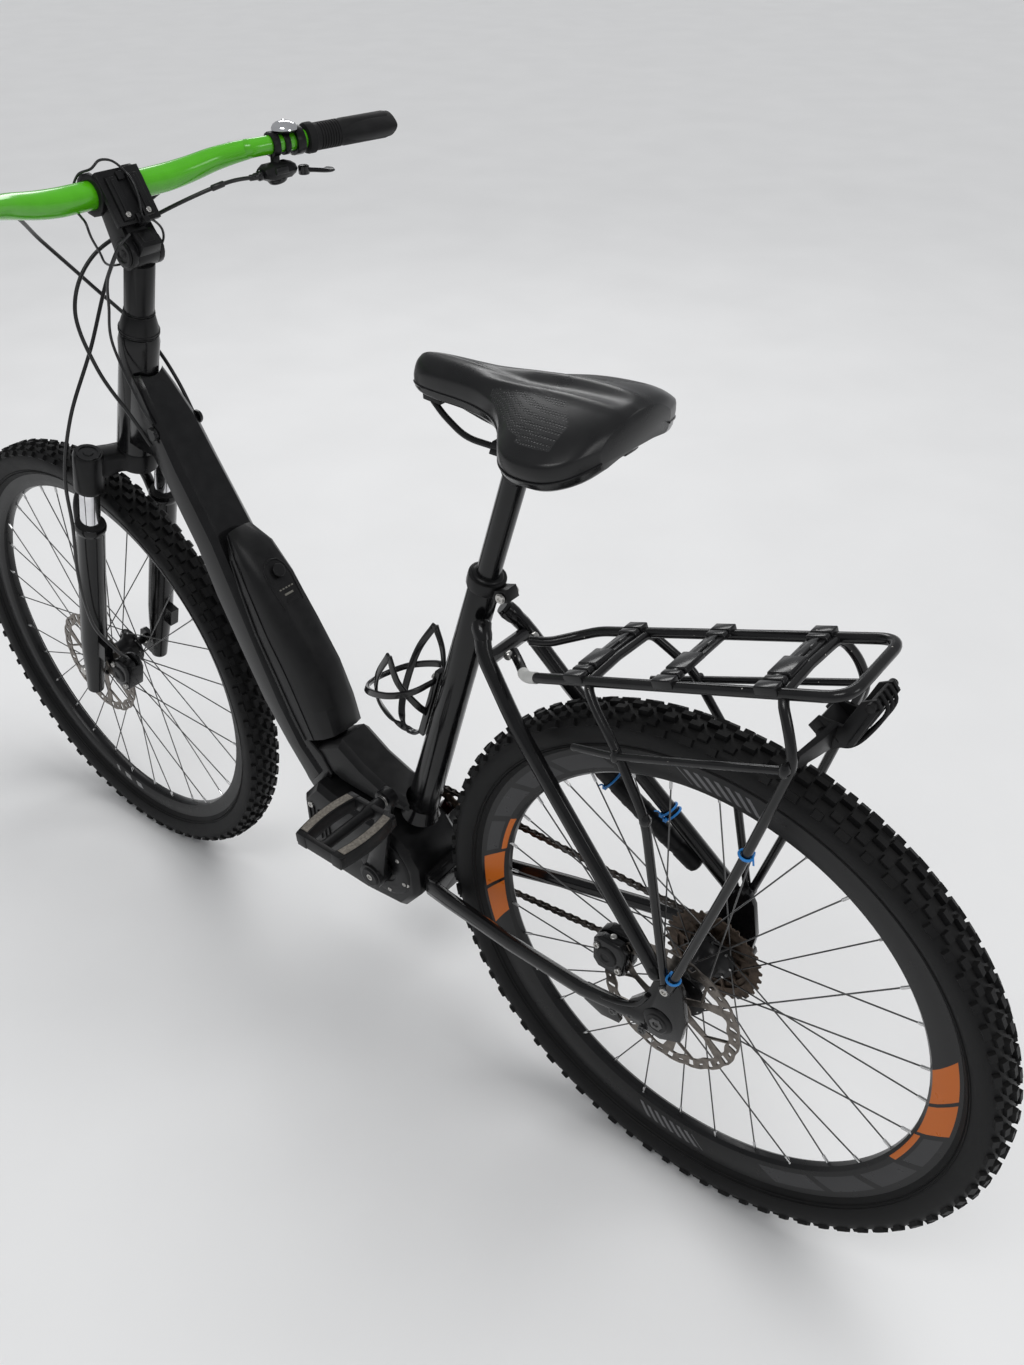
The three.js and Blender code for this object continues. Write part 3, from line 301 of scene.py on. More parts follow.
def tinted(tree, colour, tint, amount):
    """A colour socket mixed with a plain tint, by the amount another socket gives."""
    settings = {"B": (*tint, 1), "Factor": amount, "A": colour}
    return node(tree, "Mix", settings, data_type="RGBA").outputs["Result"]


def surface(name, colour, rough, metal=0.0, vary=0.12, scale=60.0, grain=900.0, bump=0.03,
            coat=0.0, dust=0.0, rough_vary=0.1, speckle=None, mirror=0.5):
    """A procedural surface: mottled colour and gloss, fine grain and a trace of dust on upward faces."""
    m = bpy.data.materials.new(name)
    m.use_nodes = True
    tree = m.node_tree
    shader = tree.nodes["Principled BSDF"].inputs
    for key, value in (("Metallic", metal), ("Coat Weight", coat), ("Specular IOR Level", mirror),
                       ("Coat Roughness", COAT_ROUGHNESS)):
        shader[key].default_value = value
    where = node(tree, "TexCoord").outputs["Object"]
    cloud = node(tree, "TexNoise", {"Scale": scale, "Detail": 6, "Vector": where}).outputs["Fac"]
    tone = node(tree, "ValToRGB", {"Fac": cloud})
    dark = [c * (1 - vary) for c in colour]
    light = [min(1.0, c * (1 + vary) + 0.002) for c in colour]
    for stop, position, mottle in zip(tone.color_ramp.elements, (0.3, 0.7), (dark, light)):
        stop.position = position
        stop.color = (*mottle, 1)
    mixed = tone.outputs["Color"]
    if speckle:
        tint, cells, share = speckle
        spots = node(tree, "TexVoronoi", {"Scale": cells, "Vector": where}).outputs["Distance"]
        chips = node(tree, "Math", {0: spots, 1: share}, operation="LESS_THAN").outputs["Value"]
        mixed = tinted(tree, mixed, tint, chips)
    if dust:
        facing = node(tree, "NewGeometry").outputs["Normal"]
        upward = node(tree, "SeparateXYZ", {"Vector": facing}).outputs["Z"]
        limits = {"From Min": 0.2, "From Max": 1.0, "To Max": dust, "Value": upward}
        amount = node(tree, "MapRange", limits).outputs["Result"]
        patchy = node(tree, "Math", {0: amount, 1: cloud}, operation="MULTIPLY").outputs["Value"]
        mixed = tinted(tree, mixed, DUST, patchy)
    wire(tree, mixed, shader["Base Color"])
    limits = {"To Min": max(0.02, rough - rough_vary), "To Max": min(1.0, rough + rough_vary), "Value": cloud}
    wire(tree, node(tree, "MapRange", limits).outputs["Result"], shader["Roughness"])
    fine = node(tree, "TexNoise", {"Scale": grain, "Detail": 3, "Vector": where}).outputs["Fac"]
    relief = node(tree, "Bump", {"Strength": bump, "Distance": 0.001, "Height": fine})
    wire(tree, relief.outputs["Normal"], shader["Normal"])
    return m


COAT_ROUGHNESS = 0.12
DUST = (0.3, 0.28, 0.25)
COAL = (0.0045, 0.0045, 0.005)
INK = (0.005, 0.005, 0.0055)
FRAME_BLACK = surface("satin_frame_black", COAL, 0.19, grain=2600, bump=0.012, coat=0.08,
                      dust=0.015, rough_vary=0.04, mirror=0.3)
ANODISED = surface("black_anodised", INK, 0.32, 0.2, grain=3000, bump=0.02, dust=0.015, mirror=0.32)
PLASTIC = surface("moulded_black_plastic", COAL, 0.4, grain=1800, bump=0.08, dust=0.015, mirror=0.26)
GLOSS_PLASTIC = surface("smooth_black_plastic", INK, 0.2, grain=1800, bump=0.02, coat=0.2, mirror=0.35)
RUBBER = surface("black_rubber", (0.009, 0.009, 0.0095), 0.62, grain=1200, bump=0.12, dust=0.02, mirror=0.2)
TYRE = surface("tyre_rubber", (0.0045, 0.0045, 0.0048), 0.55, scale=40, grain=700, bump=0.2, dust=0.02,
               mirror=0.2)
STEEL = surface("brushed_steel", (0.5, 0.49, 0.47), 0.3, 1.0, scale=200, grain=1500, bump=0.06)
DARK_STEEL = surface("dark_spoke_steel", (0.11, 0.11, 0.11), 0.3, 0.9, scale=200, grain=1500, bump=0.04)
ROTOR = surface("rotor_steel", (0.17, 0.152, 0.135), 0.34, 0.95, scale=120, grain=1500, bump=0.08, vary=0.3)
CHAIN_STEEL = surface("oily_chain_steel", (0.04, 0.033, 0.028), 0.42, 0.7, scale=150, grain=1500, bump=0.15,
                      vary=0.5)
RUSTY = surface("worn_drive_steel", (0.085, 0.062, 0.046), 0.5, 0.7, scale=150, grain=1500, bump=0.2,
                vary=0.5)
CHROME = surface("polished_chrome", (0.82, 0.82, 0.84), 0.07, 1.0, grain=900, bump=0.01, rough_vary=0.03)
LIME = surface("lime_gloss_paint", (0.075, 0.42, 0.004), 0.2, grain=900, bump=0.004, coat=0.4, vary=0.04,
               rough_vary=0.02)
SADDLE = surface("saddle_cover", INK, 0.3, scale=30, grain=1400, bump=0.05, dust=0.01, mirror=0.4)
SADDLE_GLOSS = surface("saddle_side", (0.004, 0.004, 0.0045), 0.2, grain=1400, bump=0.03, coat=0.1,
                       mirror=0.3)
GRIT = surface("grey_grip_tape", (0.16, 0.145, 0.125), 0.85, scale=300, grain=2500, bump=0.6, vary=0.4)
BLUE = surface("blue_tie", (0.02, 0.2, 0.55), 0.4)
WHITE = surface("white_tape", (0.6, 0.6, 0.58), 0.6)

# Imported solids that stay in view with a look of their own; the rest get satin black or anodised, and many
# are replaced by pieces below
LOOK = {
    "battery_pack": PLASTIC, "battery_button": GLOSS_PLASTIC, "motor_cover": PLASTIC, "motor_unit": ANODISED,
    "display_mount": PLASTIC, "shifter_body": PLASTIC,
}
MACHINED = ("crank", "brake_lever", "stem", "cone", "seat_clamp")
ROUND = ("front_brake_hose", "rear_brake_hose", "gear_cable", "display_wire", "handlebar")
for name, solid in nodes.items():
    solid.data.materials.clear()
    solid.data.materials.append(LOOK.get(name, ANODISED if name.startswith(MACHINED) else FRAME_BLACK))
    finish_mesh(solid, angle=38, bevel=0 if name in ROUND else 0.9, weld=True)

# ---------------------------------------------------------------- wheels
TREAD_PITCHES = 76
RIM_EDGE, RIM_DRAWN = 313, 279


def wheel_frame(turn):
    """Radial, sideways and forward directions at a place on a wheel."""
    radial = spot(1, turn)
    return Matrix((vec(-math.sin(turn), 0, math.cos(turn)), vec(0, 1, 0), radial)).transposed()


def tyre_shape():
    """The tyre's body with three rows of knobs on each side, the rows offset by half a pitch."""
    shape = Shape()
    profile = [[316.5, -13], [320, -16], [326, -21.5], [334, -25.5], [343, -27], [350, -26], [355, -22],
               [358.5, -15], [360, -7], [360.4, 0], [360, 7], [358.5, 15], [355, 22], [350, 26], [343, 27],
               [334, 25.5], [326, 21.5], [320, 16], [316.5, 13], [322, 0]]
    shape.revolve(profile, 144)
    for i, turn in enumerate(turns(TREAD_PITCHES)):
        mid = turn + TAU / TREAD_PITCHES / 2
        for sign in (1, -1):
            f = wheel_frame(turn if sign > 0 else mid)
            shape.box(f.col[2] * 362.2 + vec(0, sign * 5.6, 0), (15, 8.2, 7.4), f, 0.86)
            f = wheel_frame(mid if sign > 0 else turn)
            lean = f @ Matrix.Rotation(-sign * math.radians(24), 3, "X")
            shape.box(f.col[2] * 358.8 + vec(0, sign * 16.0, 0), (13, 8.4, 7.6), lean, 0.84)
            f = wheel_frame(turn if sign > 0 else mid)
            lean = f @ Matrix.Rotation(-sign * math.radians(46), 3, "X")
            width = 12 if i % 2 else 16
            shape.box(f.col[2] * 353.4 + vec(0, sign * 23.6, 0), (width, 9.0, 7.6), lean, 0.82)
    return shape


def side_ribs():
    """Fine moulded ribs where the tyre meets the rim."""
    shape = Shape()
    for sign in (1, -1):
        for r, y in ((322.5, 19.2), (325.5, 21.6)):
            ring = [[r - 0.8, sign * (y - 0.7)], [r + 0.8, sign * (y + 0.6)], [r, sign * (y + 1.0)]]
            shape.revolve(ring, 120)
    return shape


def rim_shape(inner):
    """The rim's section, drawn 39 mm deep and drawn in towards the tyre for a shallower rim."""
    profile = [[279, -4], [278.6, 0], [279, 4], [283, 8.5], [292, 11], [304, 12.2], [313, 12.6],
               [317.5, 13.2], [318.2, 11.8], [316, 11], [311, 9], [311, -9], [316, -11], [318.2, -11.8],
               [317.5, -13.2], [313, -12.6], [304, -12.2], [292, -11], [283, -8.5]]
    depth = (RIM_EDGE - inner) / (RIM_EDGE - RIM_DRAWN)
    return Shape().revolve([[RIM_EDGE - (RIM_EDGE - r) * depth if r < RIM_EDGE else r, y]
                            for r, y in profile], 160)


def spoke_shape(flange, radius, reach):
    """Crossed spokes from the hub's flanges, with their elbows at the hub and nipples at the rim."""
    shape = Shape()
    for i, rim_turn in enumerate(turns(32)):
        sign = 1 if i % 2 else -1
        lead = 1 if i % 4 < 2 else -1
        hub_turn = rim_turn + lead * math.radians(66)
        y = sign * (flange - 0.8 + lead * 1.5)
        start = spot(radius - 4.5, hub_turn, y)
        end = spot(reach, rim_turn, sign * 2.4 + lead * 0.4)
        shape.rod(start, end, 0.95, 8)
        along = (end - start).normalized()
        tip = start + along * ((end - start).length - 13)
        shape.turned(tip, end, [[1.2, 0], [1.9, 0.12], [1.9, 0.85], [2.6, 0.9], [2.6, 1]], 8, 1)
        shape.rod(start - vec(0, lead * 1.6, 0), start + vec(0, lead * 1.2, 0), 1.7, 8, 1)
    return shape


def hub_shape(flange, radius, axle, drive):
    """A hub shell with two flanges; axle and drive are half widths over the axle's and the body's ends."""
    profile = [[5, -axle + 1], [6.6, -axle], [7, -axle + 1.2], [7, -drive], [12.5, -drive],
               [14, -drive + 1.5], [15, -flange - 3], [radius - 1, -flange - 1.6], [radius, -flange],
               [radius - 1, -flange + 1.8], [radius - 7, -flange + 2.6], [19, -flange + 8],
               [16.5, -flange + 14], [16.5, flange - 14], [19, flange - 8], [radius - 7, flange - 2.6],
               [radius - 1, flange - 1.8], [radius, flange], [radius - 1, flange + 1.6], [15, flange + 3],
               [14, flange + 9.5], [7, flange + 10], [7, axle - 1.2], [6.6, axle], [5, axle - 1]]
    return Shape().revolve(profile, 48)


def rotor_shape():
    """A vented disc: a wavy, slotted brake band on six swept arms round a carrier held by six bolts."""
    shape = Shape()
    steps = 252
    radii = [74.5, 77.5, 81.0, 84.5, 87.0, 89.6]
    points, faces = [], []
    for y in (-0.95, 0.95):
        for i in range(steps):
            turn = TAU * i / steps
            wave = 1.3 * math.cos(turn * 18)
            for j, r in enumerate(radii):
                grow = wave if j in (0, len(radii) - 1) else wave * 0.4
                sweep = turn + (j - 2) * 0.012
                reach = min(r + grow, 89.8)
                points.append(spot(reach, sweep, y))
    rows = len(radii)
    solid = {}
    for i in range(steps):
        for j in range(rows - 1):
            slotted = j in (1, 2, 3) and i % 7 in (2, 3, 4) and not (j != 2 and i % 14 > 7)
            solid[i, j] = not slotted
    total = steps * rows
    for (i, j), keep in solid.items():
        if not keep:
            continue
        k = (i + 1) % steps
        a, b, c, d = i * rows + j, i * rows + j + 1, k * rows + j + 1, k * rows + j
        faces += [[a, b, c, d], [d + total, c + total, b + total, a + total]]
        neighbours = (((i, j - 1), a, d), ((i, j + 1), c, b), (((i - 1) % steps, j), b, a), ((k, j), d, c))
        for cell, p, q in neighbours:
            if not solid.get(cell, False):
                faces.append([p, q, q + total, p + total])
    shape.add(points, faces)
    for turn in turns(6):
        outer, middle, inner = spot(76, turn + 0.5), spot(50, turn + 0.34), spot(22, turn)
        ring_points = []
        for p, width in ((outer, 7.5), (middle, 4.2), (inner, 7.0)):
            across = vec(-p.z, 0, p.x).normalized() * width
            corners = ((-1, -0.8), (1, -0.8), (1, 0.8), (-1, 0.8))
            ring_points.append([p + across * a + vec(0, b, 0) for a, b in corners])
        shape.rings(ring_points)
        shape.tube([spot(76, turn + 0.05), middle], 1.9, 6)
    shape.revolve([[13, -1.3], [27, -1.3], [27, 1.3], [13, 1.3]], 48)
    for i in range(6):
        turn = TAU * (i + 0.5) / 6
        at = spot(22, turn)
        shape.turned(at + vec(0, 1, 0), at + vec(0, 3.6, 0),
                     [[4, 0], [4, 0.7], [3.2, 1], [1.8, 1], [1.8, 0.5]], 14, 1)
    return shape


def toothed(shape, radius, teeth, y, thick, hole, turn0=0.0):
    """A sprocket: a flat ring of pointed teeth round a central hole."""
    outline = []
    for i in range(teeth):
        for share, r in ((0.0, radius - 1.6), (0.22, radius - 0.6), (0.4, radius + 3.2), (0.6, radius + 3.2),
                         (0.78, radius - 0.6)):
            turn = turn0 + TAU * (i + share) / teeth
            outline.append((r * math.cos(turn), r * math.sin(turn)))
    count = len(outline)
    inner = [(hole * math.cos(turn0 + TAU * i / count), hole * math.sin(turn0 + TAU * i / count))
             for i in range(count)]
    points = [vec(x, y - thick / 2, z) for x, z in outline] + [vec(x, y - thick / 2, z) for x, z in inner]
    points += [vec(x, y + thick / 2, z) for x, z in outline] + [vec(x, y + thick / 2, z) for x, z in inner]
    faces = []
    for i in range(count):
        j = (i + 1) % count
        faces += [[i, j, count + j, count + i], [2 * count + i, 3 * count + i, 3 * count + j, 2 * count + j],
                  [i, 2 * count + i, 2 * count + j, j], [count + i, count + j, 3 * count + j, 3 * count + i]]
    return shape.add(points, faces)


def banded_rim(name, bands):
    """The rim's paint, with plain coloured blocks and hatching on stretches of its sides."""
    m = surface(name, INK, 0.3, grain=2400, bump=0.02, mirror=0.3)
    tree = m.node_tree
    where = node(tree, "TexCoord").outputs["Object"]
    x, _, z = node(tree, "SeparateXYZ", {"Vector": where}).outputs

    def maths(kind, *values):
        return node(tree, "Math", dict(enumerate(values)), operation=kind).outputs["Value"]

    angle = maths("ARCTAN2", z, x)
    squares = [maths("MULTIPLY", v, v) for v in (x, z)]
    radius = maths("SQRT", maths("ADD", *squares))
    slanted = maths("ADD", angle, maths("MULTIPLY", radius, BAND_SLANT))
    paint = tree.nodes["Principled BSDF"].inputs["Base Color"]
    colour = paint.links[0].from_socket
    for start, end, low, high, tint, stripes in bands:
        inside = maths("MULTIPLY", maths("GREATER_THAN", slanted, start), maths("LESS_THAN", slanted, end))
        ring = maths("MULTIPLY", maths("GREATER_THAN", radius, low), maths("LESS_THAN", radius, high))
        mask = maths("MULTIPLY", inside, ring)
        if stripes:
            wave = maths("SINE", maths("MULTIPLY", slanted, stripes))
            mask = maths("MULTIPLY", mask, maths("GREATER_THAN", wave, 0.1))
        colour = tinted(tree, colour, tint, mask)
    wire(tree, colour, paint)
    return m


BAND_SLANT = 3.2
ORANGE = (0.6, 0.14, 0.01)
GREY = (0.035, 0.035, 0.037)
SIDE_GREY = (0.14, 0.14, 0.145)
SIDE_TILT = 0.95
REAR_BANDS = []
FRONT_BANDS = []
for base in (SIDE_TILT, SIDE_TILT + math.pi, SIDE_TILT - math.pi, SIDE_TILT - TAU):
    REAR_BANDS += [
        (base - 0.27, base - 0.09, 0.283, 0.312, ORANGE, 0),
        (base - 0.07, base + 0.1, 0.283, 0.312, ORANGE, 0),
        (base + 0.12, base + 0.34, 0.282, 0.288, ORANGE, 0),
        (base + 0.13, base + 0.32, 0.292, 0.309, GREY, 0),
        (base + 0.36, base + 0.58, 0.289, 0.309, GREY, 0),
        (base + 0.62, base + 0.84, 0.289, 0.309, GREY, 0),
        (base + 0.88, base + 1.12, 0.289, 0.309, GREY, 0),
        (base + 1.46, base + 1.76, 0.29, 0.308, SIDE_GREY, 160),
    ]
    FRONT_BANDS += [(base - 1.5, base - 1.24, 0.3, 0.307, (0.3, 0.3, 0.3), 60)]
REAR_RIM = banded_rim("rear_rim_paint", REAR_BANDS)
FRONT_RIM = banded_rim("front_rim_paint", FRONT_BANDS)

ROTOR_CARRIER = surface("rotor_bolts", (0.03, 0.03, 0.032), 0.4, 0.6)
NIPPLE = surface("silver_nipple", (0.62, 0.62, 0.62), 0.28, 1.0)
for end, flange, radius, axle, drive, rim_look, disc, inner in (
    ("front", 26, 30, 49, 28, FRONT_RIM, 39, 294),
    ("rear", 34, 32, 73, 36, REAR_RIM, 58, 279),
):
    low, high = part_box(f"{end}_tyre")
    centre = (low + high) / 2 / MM
    body = f"{end}_wheel"
    piece(f"{end}_tyre_tread", tyre_shape(), TYRE, body, f"{end}_tyre", at=centre, angle=32)
    piece(f"{end}_tyre_ribs", side_ribs(), TYRE, body, at=centre)
    piece(f"{end}_rim_hoop", rim_shape(inner), rim_look, body, f"{end}_rim", at=centre, angle=30)
    piece(f"{end}_spokes", spoke_shape(flange, radius, inner + 2), [DARK_STEEL, NIPPLE], body,
          f"{end}_hub_and_spokes", at=centre)
    piece(f"{end}_hub_shell", hub_shape(flange, radius, axle, drive), ANODISED, body, at=centre, angle=30)
    piece(f"{end}_rotor", rotor_shape(), [ROTOR, ROTOR_CARRIER], body, f"{end}_brake_disc",
                  at=centre + vec(0, disc, 0), angle=30)

cassette = Shape()
for radius, teeth, y in ((62, 32, -37.8), (55, 28, -41.4), (48, 24, -45.0), (41, 21, -48.6), (34, 18, -51.4),
                         (30.2, 15, -54.0), (25, 13, -57.4), (22, 11, -60.2)):
    toothed(cassette, radius, teeth, y, 1.7, max(radius - 13, 17.5), turn0=radius)
    for turn in turns(6, y):
        if radius > 30:
            cassette.tube([spot(17, turn, y), spot(radius - 8, turn + 0.25, y)], 2.2, 6)
cassette.revolve([[16, -61], [19, -61], [19, -37], [16, -37]], 32)
low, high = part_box("cassette")
piece("cassette_sprockets", cassette, RUSTY, "cassette", "cassette",
      at=vec((low.x + high.x) / 2, 0, (low.z + high.z) / 2) / MM, angle=25)

# ---------------------------------------------------------------- drive
BRACKET = vec(-99, 0, 312)
CHAIN_LINE = -54
INCH = 25.4
LINK_OUTLINE = [(-0.28, 2.0), (-0.12, 3.5), (0.1, 3.7), (0.5, 2.3), (0.9, 3.7), (1.12, 3.5), (1.28, 2.0)]
# x, z, pitch radius (below zero where the chain turns the other way), steps round a full turn
CHAIN_WHEELS = [(-99, 312, 73.6, 160), (-556, 366, 30.2, 80), (-580, 316, -22.4, 40), (-522, 318, 22.4, 60)]


def chain_path():
    """The pitch line of the chain, as points [x, z] along its whole loop."""
    count = len(CHAIN_WHEELS)
    headings = []
    for i, (x, z, radius, _) in enumerate(CHAIN_WHEELS):
        next_x, next_z, next_radius, _ = CHAIN_WHEELS[(i + 1) % count]
        bearing = math.atan2(next_z - z, next_x - x)
        headings.append(bearing - math.asin((next_radius - radius) / math.hypot(next_x - x, next_z - z)))
    points = []
    for i, (x, z, radius, steps) in enumerate(CHAIN_WHEELS):
        start = headings[i - 1]
        full = math.copysign(TAU, radius)
        sweep = math.fmod(math.fmod(headings[i] - start, full) + full, full)
        for k in range(steps + 1):
            heading = start + sweep * k / steps
            points.append(vec(x + radius * math.sin(heading), 0, z - radius * math.cos(heading)))
    return points


def chain_shape():
    """Inner and outer plates, pins and rollers along the whole loop, at half-inch steps."""
    shape = Shape()
    path = chain_path()
    lengths = [0.0]
    for a, b in zip(path, path[1:] + path[:1]):
        lengths.append(lengths[-1] + (b - a).length)
    total = lengths[-1]
    links = 2 * round(total / INCH)
    pins = []
    j = 0
    for i in range(links):
        want = total * i / links
        while lengths[j + 1] < want:
            j += 1
        a, b = path[j], path[(j + 1) % len(path)]
        share = (want - lengths[j]) / max(lengths[j + 1] - lengths[j], 1e-6)
        pins.append(a.lerp(b, share))
    for i, pin in enumerate(pins):
        onward = pins[(i + 1) % links] - pin
        along = onward.normalized()
        across = vec(-along.z, 0, along.x)
        outer = i % 2
        for sign in (1, -1):
            y = CHAIN_LINE + sign * (2.9 if outer else 2.0)
            ring = [pin + onward * s + across * h for s, h in LINK_OUTLINE]
            ring += [pin + onward * s - across * h for s, h in reversed(LINK_OUTLINE)]
            shape.rings([[p + vec(0, y - 0.45, 0) for p in ring], [p + vec(0, y + 0.45, 0) for p in ring]])
        shape.rod(pin + vec(0, CHAIN_LINE - 3.5, 0), pin + vec(0, CHAIN_LINE + 3.5, 0), 1.8, 8, 1)
        shape.rod(pin + vec(0, CHAIN_LINE - 1.6, 0), pin + vec(0, CHAIN_LINE + 1.6, 0), 3.3, 10)
    return shape


piece("chain_links", chain_shape(), [CHAIN_STEEL, DARK_STEEL], "frame", "chain", angle=30)


ring_shape = toothed(Shape(), 73.0, 36, CHAIN_LINE, 2.4, 58)
for turn in turns(4, 0.5):
    arm = []
    for r, width in ((18, 12), (36, 7.5), (60, 10)):
        p = spot(r, turn, CHAIN_LINE)
        across = vec(-p.z, 0, p.x).normalized() * width
        arm.append([p + across * a + vec(0, b, 0) for a, b in ((-1, -2), (1, -2), (1, 2), (-1, 2))])
    ring_shape.rings(arm, 1)
    ring_shape.rod(spot(56, turn, CHAIN_LINE - 3.5), spot(56, turn, CHAIN_LINE + 2.5), 4.6, 16, 2, 0.6)
ring_shape.revolve([[12.4, -55.5], [20, -55.5], [20, -43.8], [12.4, -43.8]], 40, 1)
RED_TINT = surface("dark_red_anodised", (0.12, 0.008, 0.014), 0.36, 0.4)
piece("chainring_toothed", ring_shape, [RUSTY, ANODISED, STEEL], "crank", "chainring", at=BRACKET, angle=30)

for name, x, z in (("guide_pulley", -580, 316), ("tension_pulley", -522, 318)):
    wheel = toothed(Shape(), 20.6, 11, 0, 3.2, 6)
    wheel.revolve([[3.6, -3], [8.5, -3], [8.5, 3], [3.6, 3]], 24)
    piece(f"{name}_wheel", wheel, PLASTIC, name, name, at=vec(x, CHAIN_LINE, z))


def pedal_shape(sign):
    """A slim moulded platform with curved tread bars and grip strips; sign is 1 on the left."""
    shape = Shape()
    inner, outer, half = 104.0, 198.5, 43.0
    for front in (1, -1):
        rows = []
        for k in range(13):
            share = k / 12
            y = inner + (outer - inner) * share
            bow = 1 - (2 * share - 1) ** 2
            x = front * (half - 13.5 + 6.0 * bow)
            rows.append((x, y))
        rings = []
        for x, y in rows:
            a, b = x - 7.5, x + 7.5
            rings.append([vec(u, sign * y, z) for u, z in ((a, -10), (b, -10), (b, 9.4), (a, 9.4))])
        shape.rings(rings)
        for z, grow in ((9.4, 1.2), (-10, -1.0)):
            corners = ((-5.6, z), (5.6, z), (5.6, z + grow), (-5.6, z + grow))
            shape.rings([[vec(x + a, sign * y, b) for a, b in corners] for x, y in rows[1:-1]], 1)
    for y, wide in ((inner + 4, 8), (outer - 4, 7)):
        rings = []
        for x, tall in ((-half + 4, 6.5), (-half + 14, 9), (0, 9), (half - 14, 9), (half - 4, 6.5)):
            corners = ((-1, -tall), (1, -tall), (1, tall), (-1, tall))
            rings.append([vec(x, sign * (y + a * wide / 2), b) for a, b in corners])
        shape.rings(rings)
    shape.turned((0, sign * 90, 0), (0, sign * (outer - 2), 0),
                 [[8, 0], [9.5, 0.05], [9.5, 0.2], [7.5, 0.3], [7.5, 0.9], [9, 0.97], [7, 1]], 24)
    shape.turned((0, sign * 76, 0), (0, sign * 91, 0), [[5.2, 0], [5.4, 0.6], [7.8, 0.62], [7.8, 1]], 18, 2)
    return shape


for sign, name in ((1, "pedal_left"), (-1, "pedal_right")):
    centre = joint_at(name)
    centre.y = 0
    piece(f"{name}_platform", pedal_shape(sign), [PLASTIC, GRIT, STEEL], name, name, at=centre, bevel=1.0,
          angle=40)
    trim = Shape()
    trim.turned((0, sign * 87, 0), (0, sign * 88.4, 0), [[8, 0], [7, 1], [4, 1], [4, 0.2]], 24)
    piece(f"{name}_axle_cap", trim, STEEL, "crank", at=centre)
    bolt = Shape()
    bolt.turned((0, sign * 82, 0), (0, sign * 86.5, 0), [[15, 0], [15, 0.6], [13, 1], [6, 1], [5, 0.4]], 28)
    bolt.turned((0, sign * 84.4, 0), (0, sign * 86, 0), [[5.4, 0], [5.0, 1], [2.8, 1], [2.8, 0.2]], 14, 1)
    piece(f"{name}_crank_bolt", bolt, [PLASTIC, STEEL], "crank", at=BRACKET)

# ---------------------------------------------------------------- saddle and rack
SADDLE_STATIONS = [
    # x, half width, underside, brow of the side, crown, depth of the channel
    (-171.5, 5, 1006, 1012, 1019, 0.0),
    (-174.0, 10, 1002, 1014, 1027, 0.0),
    (-180.0, 14.5, 1000, 1017, 1033, 0.0),
    (-192.0, 18.5, 998, 1020, 1037, 0.2),
    (-214.0, 21, 997, 1022, 1039, 1.0),
    (-244.0, 23, 997, 1023, 1040, 2.4),
    (-272.0, 27, 996, 1023, 1040, 4.2),
    (-298.0, 37, 994, 1021, 1040, 5.6),
    (-318.0, 54, 989, 1018, 1040, 6.6),
    (-334.0, 75, 984, 1014, 1041, 7.0),
    (-350.0, 93, 981, 1011, 1042, 6.8),
    (-370.0, 102, 980, 1010, 1043, 6.0),
    (-396.0, 103, 981, 1012, 1043, 4.6),
    (-414.0, 96, 985, 1014, 1042, 3.0),
    (-427.0, 80, 990, 1017, 1040, 1.4),
    (-435.5, 56, 997, 1018, 1036, 0.0),
]


def blended(stations, steps):
    """Stations joined by smooth in-between ones."""
    out = []
    for i in range(len(stations) - 1):
        before, a = stations[max(i - 1, 0)], stations[i]
        b, after = stations[i + 1], stations[min(i + 2, len(stations) - 1)]
        for k in range(steps):
            t = k / steps
            out.append([0.5 * (2 * q + (r - p) * t + (2 * p - 5 * q + 4 * r - s) * t * t
                               + (3 * q - p - 3 * r + s) * t ** 3)
                        for p, q, r, s in zip(before, a, b, after)])
    out.append(list(stations[-1]))
    return out


def saddle_shape():
    """The padded cover, with its dotted wings (slot 1) and its glossy side band (slot 2)."""
    shape = Shape()
    rings = []
    for x, half, low, brow, crown, channel in blended(SADDLE_STATIONS, 6):
        top = []
        count = 41
        for i in range(count):
            t = -1 + 2 * i / (count - 1)
            away = abs(t) * half
            z = crown - (crown - brow) * (0.34 * abs(t) + 0.66 * abs(t) ** 3.4)
            z -= channel * math.exp(-(away / 11) ** 2)
            z += 0.35 * channel * math.exp(-((away - 21) / 6) ** 2)
            top.append(vec(x, t * half * 0.965, z))
        side = []
        for share, out in ((0.05, 0.985), (0.16, 1.0), (0.4, 1.0), (0.62, 0.985), (0.66, 0.972), (0.86, 0.95),
                           (0.97, 0.9), (1.0, 0.84)):
            side.append((half * out, brow + (low - brow) * share))
        ring = top + [vec(x, y, z) for y, z in side]
        ring += [vec(x, half * 0.5, low + 2.5), vec(x, 0, low + 3.5), vec(x, -half * 0.5, low + 2.5)]
        ring += [vec(x, -y, z) for y, z in reversed(side)]
        rings.append(ring)
    shape.rings(rings)
    for i, face in enumerate(shape.faces):
        x, y, z = sum((shape.points[k] for k in face), Vector()) / len(face)
        away = abs(y)
        back = -290 - x
        wing = 0 < back < 112 and z > 1017 and 26 + back * 0.06 < away < 30 + back * 0.75
        wing = wing and (-x - 375) * 1.3 + 26 < away < 88
        shape.slots[i] = 1 if wing else 2 if 44 <= i % 60 <= 55 else 0
    return shape


DOTS = surface("saddle_dotted_panel", (0.012, 0.012, 0.0125), 0.45, scale=30, grain=1400, bump=0.05)
tree = DOTS.node_tree
where = node(tree, "TexCoord").outputs["Object"]
cells = node(tree, "TexVoronoi", {"Scale": 310, "Randomness": 0.0, "Vector": where}).outputs["Distance"]
pit = node(tree, "MapRange", {"From Min": 0.18, "From Max": 0.42, "Value": cells}).outputs["Result"]
dent = node(tree, "Bump", {"Strength": 1.0, "Distance": 0.0008, "Height": pit})
wire(tree, dent.outputs["Normal"], tree.nodes["Principled BSDF"].inputs["Normal"])

